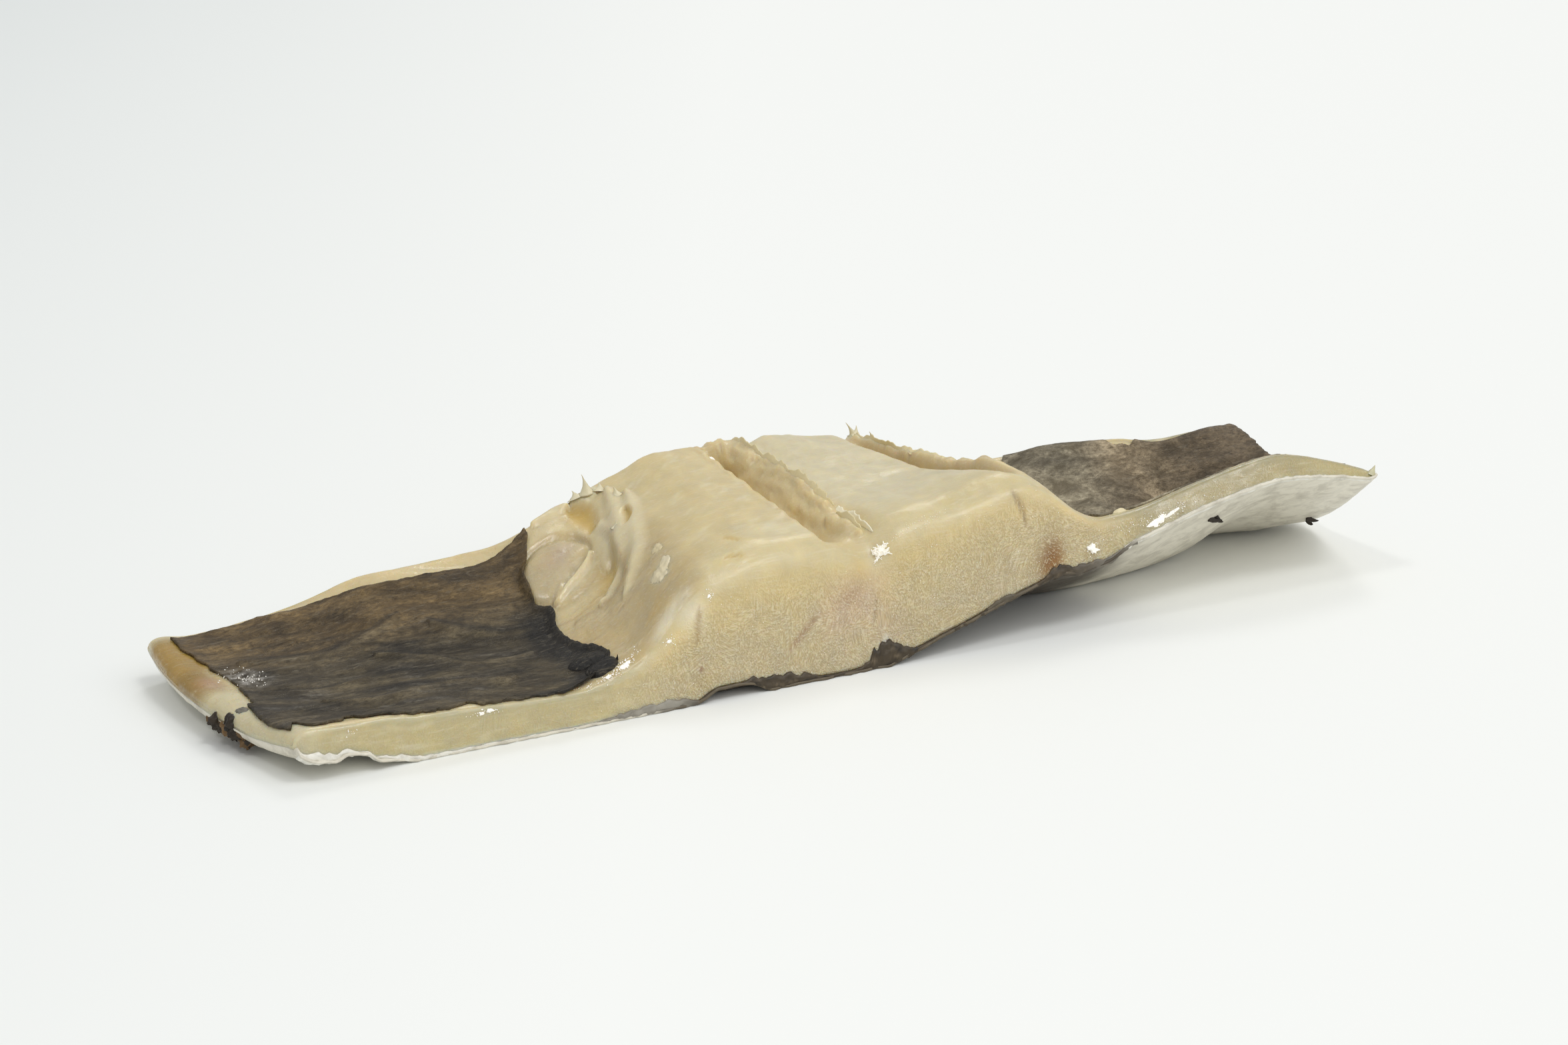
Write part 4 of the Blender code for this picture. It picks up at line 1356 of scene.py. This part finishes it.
# Pale scraps stuck to the left flank, as (outline, height, colour, seed).
SCRAPS = (
    (((-73, 20), (-72, 23.5), (-69, 24), (-66, 26), (-65.6, 22), (-67.6, 20), (-70, 18)), 0.6,
     (0.66, 0.58, 0.39), 391),
    (((-68, 31), (-67.4, 34), (-66, 35.4), (-64.8, 33), (-66, 30.4)), 0.4, (0.60, 0.51, 0.31), 392),
)


def make_flank_tags(setting, material):
    """Tags and torn bits that stand up on the left flank and at the back of the right ridge."""
    parts = [
        tag(setting, (-71.2, 88), (-1.2, 1.0, 7.0), 2.8, PALE, 211),
        tag(setting, (-67.5, 86), (0.5, 1.0, 3.0), 2.6, PALE, 212),
        tag(setting, (-74.5, 91), (-0.8, 1.0, 2.6), 3.0, PALE, 218),
        tag(setting, (-64.6, 77), (-1.0, 0.5, 3.4), 2.2, PALE, 213),
        tag(setting, (-71.0, 60.5), (0.2, 0.2, 2.8), 1.6, PALE, 215),
        tag(setting, (77.6, 93), (-3.4, 0.5, 6.4), 2.4, PALE, 216),
        tag(setting, (77.0, 92), (1.4, 1.0, 4.0), 2.6, PALE, 217),
        tag(setting, (77.0, 79), (-0.8, 0.0, 3.6), 1.8, PALE, 219),
    ]
    for outline, height, tint, seed in SCRAPS:
        parts.append(pad(setting, on_top, outline, height, tint, sharp=2.2, seed=seed, ragged=0.22))
    tip = on_face(np.array([197.0]), np.array([2.4]), np.array([-0.6]))[0]
    parts.append(horn(setting, tip, tip + (2.0, 0.4, 3.4), 2.0, GLASSY * 1.3, spread_out=1.2, wet=0.9))
    mesh_piece("flank_tags", parts, material)


def tag(setting, place, reach, radius, tint, seed):
    """A pointed tag that grows out of the inner side by a reach in X, Y and Z."""
    root = on_top(np.array([place[0]]), np.array([place[1]]), np.array([-0.8]))[0]
    return horn(setting, root, root + np.array(reach), radius, tint, bend=(0.4, 0.0, 0.0), flat=0.8,
                seed=seed, spread_out=1.9, wet=0.5)


# Flakes that stand along the grooves: (path, heights, lean, colour, thickness, tooth, seed).
FLAKES = (
    (((1.0, 90), (1.8, 80), (2.2, 66), (2.8, 50)),
     ((0, 0.2), (0.15, 0.9), (0.5, 1.0), (0.85, 1.4), (1, 0.3)), 0.4, "crest", 1.4, 0.8, 221),
    (((2.4, 52), (3.0, 42), (3.6, 33), (4.6, 26)),
     ((0, 0.3), (0.3, 1.8), (0.7, 1.6), (1, 0.4)), 0.4, "crest", 1.2, 0.8, 226),
    (((4.4, 24), (5.2, 18), (6.2, 12), (7.0, 6)),
     ((0, 1.4), (0.15, 2.6), (0.5, 2.2), (0.85, 1.2), (1, 0.3)), 0.3, "white", 2.2, 0.9, 222),
    (((1.6, 20), (2.6, 14), (3.4, 9)),
     ((0, 0.3), (0.4, 1.5), (0.8, 1.0), (1, 0.2)), 0.4, "crest", 1.8, 0.9, 228),
    (((76.4, 90), (76, 72), (76.6, 58), (77.2, 46)),
     ((0, 0.6), (0.3, 1.0), (0.6, 0.7), (1, 0.3)), 0.3, "crest", 1.6, 0.8, 224),
    (((77.4, 48), (79, 38), (81, 28)),
     ((0, 0.3), (0.5, 1.2), (1, 0.4)), 0.2, "pale", 1.8, 0.6, 225),
    (((97.0, 2.6), (99.4, 1.6), (102.4, 2.0)),
     ((0, 0.3), (0.5, 1.2), (1, 0.2)), 0.0, "pale", 2.6, 0.3, 230),
)


def make_crest_flakes(setting, material):
    """Ragged flakes of flesh that stand along the two grooves."""
    tints = {"crest": np.array((0.71, 0.61, 0.36)), "pale": np.array((0.76, 0.67, 0.43)),
             "white": np.array((0.86, 0.80, 0.61))}
    parts = [flake(setting, path, heights, lean, tints[tint], thick=thick, rows=110, seed=seed, tooth=tooth)
             for path, heights, lean, tint, thick, tooth, seed in FLAKES]
    mesh_piece("crest_flakes", parts, material)


def edge_band(setting, start, end, reach, tint, seed, bulge=0.5, columns=9, step=0.8):
    """A ragged strip along the lower edge of the front cut, as high as reach says."""
    rows = int((end - start) / step)
    u, s = np.meshgrid(np.linspace(start, end, rows), np.linspace(0.0, 1.0, columns), indexing="ij")
    tall = curve(reach, u) * (1.0 + 0.35 * rough(seed, (3.4, 1, 1), u, 0.0))
    height = -0.3 + s * np.maximum(tall, 0.4)
    lumps = bulge * (0.6 + 0.6 * rough(seed + 4, (2.6, 1.6, 1), u, height))
    above = 0.25 + np.maximum(lumps, -0.1) * np.sqrt(np.clip(1.0 - s ** 3, 0.0, 1.0))
    notch = hem(u, np.zeros_like(u))
    upper = on_face(u, height, above)
    lower = on_face(u, height, above * 0.0 - 0.6)
    for side in (upper, lower):
        side[..., 2] = np.maximum(side[..., 2], 0.05) + notch * np.clip(1.0 - height / 12.0, 0.0, 1.0)
    return sheet(setting, upper, lower, tint(u, height), wet=0.8)


SKIN_BAND = ((-112, 0.8), (-100, 1.6), (-90, 3.0), (-76, 3.4), (-68, 1.4), (-56, 1.2), (-50, 3.2), (-42, 4.6),
             (-30, 3.6), (-22, 1.5), (-10, 1.4), (-5, 3.4), (-1, 7.0), (4, 8.2), (8, 5.6), (12, 2.6), (19, 1.3),
             (40, 1.2), (50, 2.6), (60, 1.4), (68, 1.8), (73, 3.8), (78, 3.0), (88, 2.2), (100, 0.7))


def dark_band(across, height):
    """Wet black and grey skin."""
    tint = np.broadcast_to(SKIN_DARK * (0.72, 0.66, 0.55), across.shape + (3,))
    tint = toward(tint, np.array((0.17, 0.13, 0.08)), 0.8 * ease(rough(241, (4, 2, 1), across, height), 0.2, 0.9))
    tint = toward(tint, SKIN_BLACK, 0.9 * ease(rough(244, (3, 2, 1), across, height), 0.1, 0.8))
    tint = toward(tint, np.array((0.13, 0.11, 0.075)), 0.7 * ease(-np.abs(across - 52.0), -10.0, -4.0))
    grey = ease(-across, 66.0, 78.0) + 0.6 * ease(across, 76.0, 96.0)
    return toward(tint, np.array((0.34, 0.32, 0.27)), 0.8 * grey)


def white_band(across, height):
    """The white layer between flesh and skin."""
    tint = np.broadcast_to(WHITE, across.shape + (3,))
    return toward(tint, np.array((0.45, 0.43, 0.36)), 0.5 * ease(grain(247, (6, 2, 1), across, height), 0.1, 0.8))


def make_skin_edges(setting, material):
    """The skin's ragged edge along the front cut: black under the loins, white at the flaps."""
    dark = edge_band(setting, -112.0, 100.0, SKIN_BAND, dark_band, 231, bulge=0.8)
    left = edge_band(setting, -198.0, -108.0,
                     ((-198, 3.6), (-186, 3.0), (-176, 1.4), (-168, 2.2), (-150, 1.4), (-108, 0.8)),
                     white_band, 234, bulge=0.9)
    right = edge_band(setting, 92.0, 196.0, ((92, 0.7), (100, 1.4), (140, 1.6), (196, 1.2)), white_band, 237,
                      bulge=0.5)
    mesh_piece("skin_edge_dark", [dark], material)
    mesh_piece("skin_edge_white", [left, right], material)


# Patches of white salt, as (surface, middle, size, turn, number of grains, grain size, seed).
SALT = (
    ("face", (87.0, 3.8), (3.2, 2.4), 60.0, 20, 0.5, 301),
    ("face", (110.5, 4.2), (10.0, 2.2), -8.0, 60, 0.45, 302),
    ("face", (123.0, 4.6), (12.0, 1.2), -6.0, 30, 0.45, 303),
    ("top", (-92.5, 3.4), (6.0, 2.8), 20.0, 80, 0.5, 304),
    ("top", (-98.5, 1.8), (4.0, 1.8), 10.0, 36, 0.45, 305),
    ("top", (-104.5, 1.0), (3.0, 1.2), 0.0, 22, 0.4, 306),
    ("face", (-77.0, 21.5), (2.6, 1.8), 0.0, 24, 0.45, 307),
    ("face", (-138.0, 11.6), (6.0, 1.0), 0.0, 30, 0.4, 308),
    ("face", (-180.0, 9.0), (2.0, 1.2), 0.0, 10, 0.4, 309),
    ("face", (5.7, 36.6), (2.4, 1.8), 35.0, 34, 0.4, 310),
    ("face", (17.0, 39.2), (12.0, 1.6), 12.0, 40, 0.3, 311),
    ("face", (29.0, 38.0), (10.0, 1.6), 8.0, 40, 0.3, 312),
    ("lining", (-184.5, 56.0), (5.0, 9.0), 0.0, 90, 0.45, 313),
    ("face", (-61.0, 33.0), (2.0, 3.0), 0.0, 20, 0.4, 314),
    ("face", (100.0, 6.6), (6.0, 1.6), 0.0, 20, 0.35, 315),
)
# Crusts of salt, as (surface, outline, height, seed).
CRUSTS = (
    ("face", ((103.6, 3.2), (106.0, 4.5), (109.4, 5.0), (112.0, 4.4), (117.8, 4.5), (115.0, 3.6), (111.0, 3.5),
              (106.4, 2.6)), 0.4, 351),
    ("face", ((85.2, 4.2), (86.8, 5.2), (87.6, 3.6), (88.4, 2.6), (87.0, 2.2), (86.2, 3.4)), 0.25, 352),
    ("top", ((-94.4, 3.2), (-92.4, 4.2), (-90.0, 3.4), (-91.0, 1.9), (-93.4, 1.6)), 0.45, 353),
    ("top", ((-99.8, 2.0), (-98.4, 2.7), (-97.4, 2.0), (-98.2, 1.2)), 0.4, 354),
    ("face", ((-77.6, 21.6), (-76.8, 22.3), (-76.0, 21.6), (-76.8, 20.9)), 0.3, 356),
    ("face", ((-141.0, 12.0), (-138.0, 12.5), (-135.4, 12.0), (-138.0, 11.2)), 0.3, 357),
    ("top", ((-15.4, 80.0), (-14.4, 81.2), (-13.4, 80.0), (-14.4, 79.0)), 1.3, 358),
    ("face", ((-61.8, 33.5), (-61.3, 34.3), (-60.8, 33.4), (-61.4, 32.2)), 0.25, 359),
)


def make_salt(setting, material):
    """Grains of salt left on the cuts, in small patches, and a few loose ones."""
    places = {"face": on_face, "top": on_top, "lining": on_lining}
    parts = []
    for surface, middle, size, turn, count, grain_size, seed in SALT:
        random = np.random.default_rng(seed + 50)
        centres = scatter(places[surface], middle, size, count, 0.15, seed, turn)
        parts += crystals(setting, centres, grain_size * random.uniform(0.4, 1.0, count), seed)
    random = np.random.default_rng(330)
    count = 260
    loose = on_face(random.uniform(-110, 100, count), random.uniform(2, 34, count), np.full(count, 0.1))
    parts += crystals(setting, loose, random.uniform(0.12, 0.3, count), 331)
    parts += needles(setting, on_face, (5.7, 36.6), 70, 332)
    mesh_piece("salt_grains", parts, material)
    white = np.array((0.92, 0.91, 0.87))
    crusts = [pad(setting, places[surface], outline, height, white, count=22, sharp=2.5, seed=seed, ragged=0.35)
              for surface, outline, height, seed in CRUSTS]
    mesh_piece("salt_crusts", crusts, material)


def needles(setting, place, middle, count, seed):
    """Thin needles of salt that stand out from a place in all directions."""
    random = np.random.default_rng(seed)
    parts = []
    for index in range(count):
        spot_at = middle + random.normal(size=2) * 0.9
        root = place(np.array([spot_at[0]]), np.array([spot_at[1]]), np.array([-0.1]))[0]
        way = random.normal(size=3) * (1.0, 0.4, 1.0) + (0.3, -0.5, 0.6)
        reach = way / np.linalg.norm(way) * random.uniform(0.9, 3.2)
        parts.append(horn(setting, root, root + reach, 0.2, (0.92, 0.91, 0.88), flat=0.8, seed=seed + index))
    return parts


def make_dark_tags(setting, material):
    """Torn dark tags of skin and lining at the left rim and under the right flap."""
    black, brown, grey = np.array(((0.028, 0.020, 0.012), (0.13, 0.075, 0.028), (0.16, 0.15, 0.12)))
    rim_patches = (
        (((27, -8), (29, -3), (35, -1.5), (42, -2.5), (46, -6), (42, -10), (34, -11)), 0.9, brown, 371),
        (((30, -6), (30.4, -1), (31.4, 3.5), (33.2, 4.6), (34.2, 0), (33.4, -6), (31.6, -8)), 1.5, black, 372),
        (((38, -6), (38.6, -1), (40.6, 1.5), (42.6, -1), (42, -7)), 1.9, black * 1.3, 373),
        (((34.5, -6), (35.4, -1.5), (36.6, -0.4), (37.6, -3), (37, -7)), 1.6, brown * 1.6, 376),
        (((27.5, -8.5), (28.4, -5), (30.6, -5.4), (30.8, -9.4)), 2.0, brown * 1.1, 377),
        (((30.4, 6), (31.6, 9.4), (33.4, 8.6), (33, 5.6)), 0.6, grey, 374),
        (((44, -6), (46, -3), (48.5, -4), (47, -7.5)), 1.2, brown, 375),
    )
    parts = [pad(setting, on_rim, outline, height, tint, sharp=2.5, seed=seed, ragged=0.3, wet=0.9)
             for outline, height, tint, seed in rim_patches]
    random = np.random.default_rng(360)
    for index in range(5):
        root = on_rim(np.array([28.0 + 3.4 * index]), np.array([-7.5]), np.array([-0.4]))[0]
        reach = np.array((-0.8, -0.6, -1.2 - 1.2 * random.random()))
        tint = brown if index % 2 else black
        parts.append(horn(setting, root, root + reach, 2.4, tint, (-0.8, 0.0, 0.4), 0.5, 361 + index,
                          spread_out=1.2, wet=0.9))
    for across, inward, reach in ((134, 9.5, (5.0, -1.0, -1.0)), (137, 10.0, (2.0, -2.0, -1.8)),
                                  (188, 33.0, (4.0, -2.0, -1.4)), (190, 36.0, (1.0, -2.0, -1.8))):
        root = on_skin(np.array([across * 1.0]), np.array([inward]), np.array([-0.3]))[0]
        parts.append(horn(setting, root, root + np.array(reach), 1.1, black, (0.0, 0.0, -0.5), 0.5, across, wet=0.9))
    mesh_piece("dark_tags", parts, material)


def make_frost(setting, material):
    """Needles of salt in a star at the notch between the loins."""
    count = 36
    random = np.random.default_rng(340)
    centres = scatter(on_face, (5.8, 36.8), (3.2, 2.4), count, 0.4, 341, 35.0)
    mesh_piece("salt_needles", crystals(setting, centres, random.uniform(0.2, 0.34, count), 342, needle=6.0),
               material)


# ---------------------------------------------------------------- stage, light and camera

CAMERA_PLACE = (-0.42449, -0.79368, 0.34501)
CAMERA_AIM = (-0.01901, -0.02341, 0.04421)
LENS = 65.0
SENSOR = 36.0
FLOOR_RADIUS = 12.0
WORLD_STRENGTH = 0.55
SUNS = (
    ("left", (-0.435, 0.053, 0.90), 0.28, 10.0),
    ("right", (0.243, -0.365, 0.90), 0.48, 14.0),
    ("front", (0.38, -0.55, 0.74), 0.82, 55.0),
    ("back", (0.36, 0.46, 0.68), 0.34, 16.0),
)
# Across the picture, in millimetres from the middle of the floor, painted shade darkens the floor towards the left.
PICTURE_RIGHT = (0.8847, -0.4662, 0.0)


def look(place, aim):
    """Rotation of a camera or lamp that looks from one point to another."""
    return (Vector(aim) - Vector(place)).to_track_quat("-Z", "Y").to_euler()


def make_camera():
    """The camera, at the photograph's angle."""
    data = bpy.data.cameras.new("camera")
    data.lens = LENS
    data.sensor_width = SENSOR
    camera = bpy.data.objects.new("camera", data)
    camera.location = CAMERA_PLACE
    camera.rotation_euler = look(CAMERA_PLACE, CAMERA_AIM)
    bpy.context.scene.collection.objects.link(camera)
    bpy.context.scene.camera = camera


def make_lights():
    """Soft lights from the left, the right and the front, in a white studio."""
    for name, direction, strength, angle in SUNS:
        data = bpy.data.lights.new("light_" + name, "SUN")
        data.energy = strength
        data.angle = np.radians(angle)
        lamp = bpy.data.objects.new("light_" + name, data)
        lamp.rotation_euler = look(direction, (0.0, 0.0, 0.0))
        bpy.context.scene.collection.objects.link(lamp)
    world = bpy.data.worlds.new("white_studio")
    world.use_nodes = True
    background = world.node_tree.nodes["Background"]
    background.inputs["Color"].default_value = (1.0, 1.0, 1.0, 1.0)
    background.inputs["Strength"].default_value = WORLD_STRENGTH
    bpy.context.scene.world = world


def make_floor():
    """A plain pale floor, with painted shade that darkens it softly towards the left."""
    material, tree, shader, where = new_material("pale_floor")
    dot = tree.nodes.new("ShaderNodeVectorMath")
    dot.operation = "DOT_PRODUCT"
    connect(tree, dot.inputs[0], where)
    dot.inputs[1].default_value = PICTURE_RIGHT
    # Painted shade: the floor's colour darkens towards the left.
    left = ramp(tree, dot.outputs["Value"], -650.0, -50.0)
    colour = mix(tree, left, (0.72, 0.75, 0.74, 1.0), (0.90, 0.915, 0.89, 1.0))
    connect(tree, shader.inputs["Base Color"], colour)
    shader.inputs["Roughness"].default_value = 0.6
    shader.inputs["Specular IOR Level"].default_value = 0.2
    mesh = bpy.data.meshes.new("floor")
    angles = np.linspace(0.0, 2.0 * np.pi, 97)[:-1]
    rim = np.stack([np.cos(angles), np.sin(angles), 0.0 * angles], axis=1) * FLOOR_RADIUS
    mesh.from_pydata(rim.tolist(), [], [list(range(96))])
    mesh.materials.append(material)
    floor = bpy.data.objects.new("floor", mesh)
    bpy.context.scene.collection.objects.link(floor)


def main():
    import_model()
    setting = Setting()
    make_flesh(setting, flesh_material("salted_flesh", 0.75))
    scraps = flesh_material("flesh_scraps", 0.0)
    make_flank_tags(setting, scraps)
    make_crest_flakes(setting, scraps)
    make_linings(setting, lining_material())
    skin = skin_material()
    make_skin(setting, skin)
    make_skin_edges(setting, skin)
    make_dark_tags(setting, skin)
    salt = glowing_salt_material()
    make_salt(setting, salt)
    make_frost(setting, salt)
    make_floor()
    make_lights()
    make_camera()
    bpy.context.scene.view_settings.view_transform = "Standard"


main()
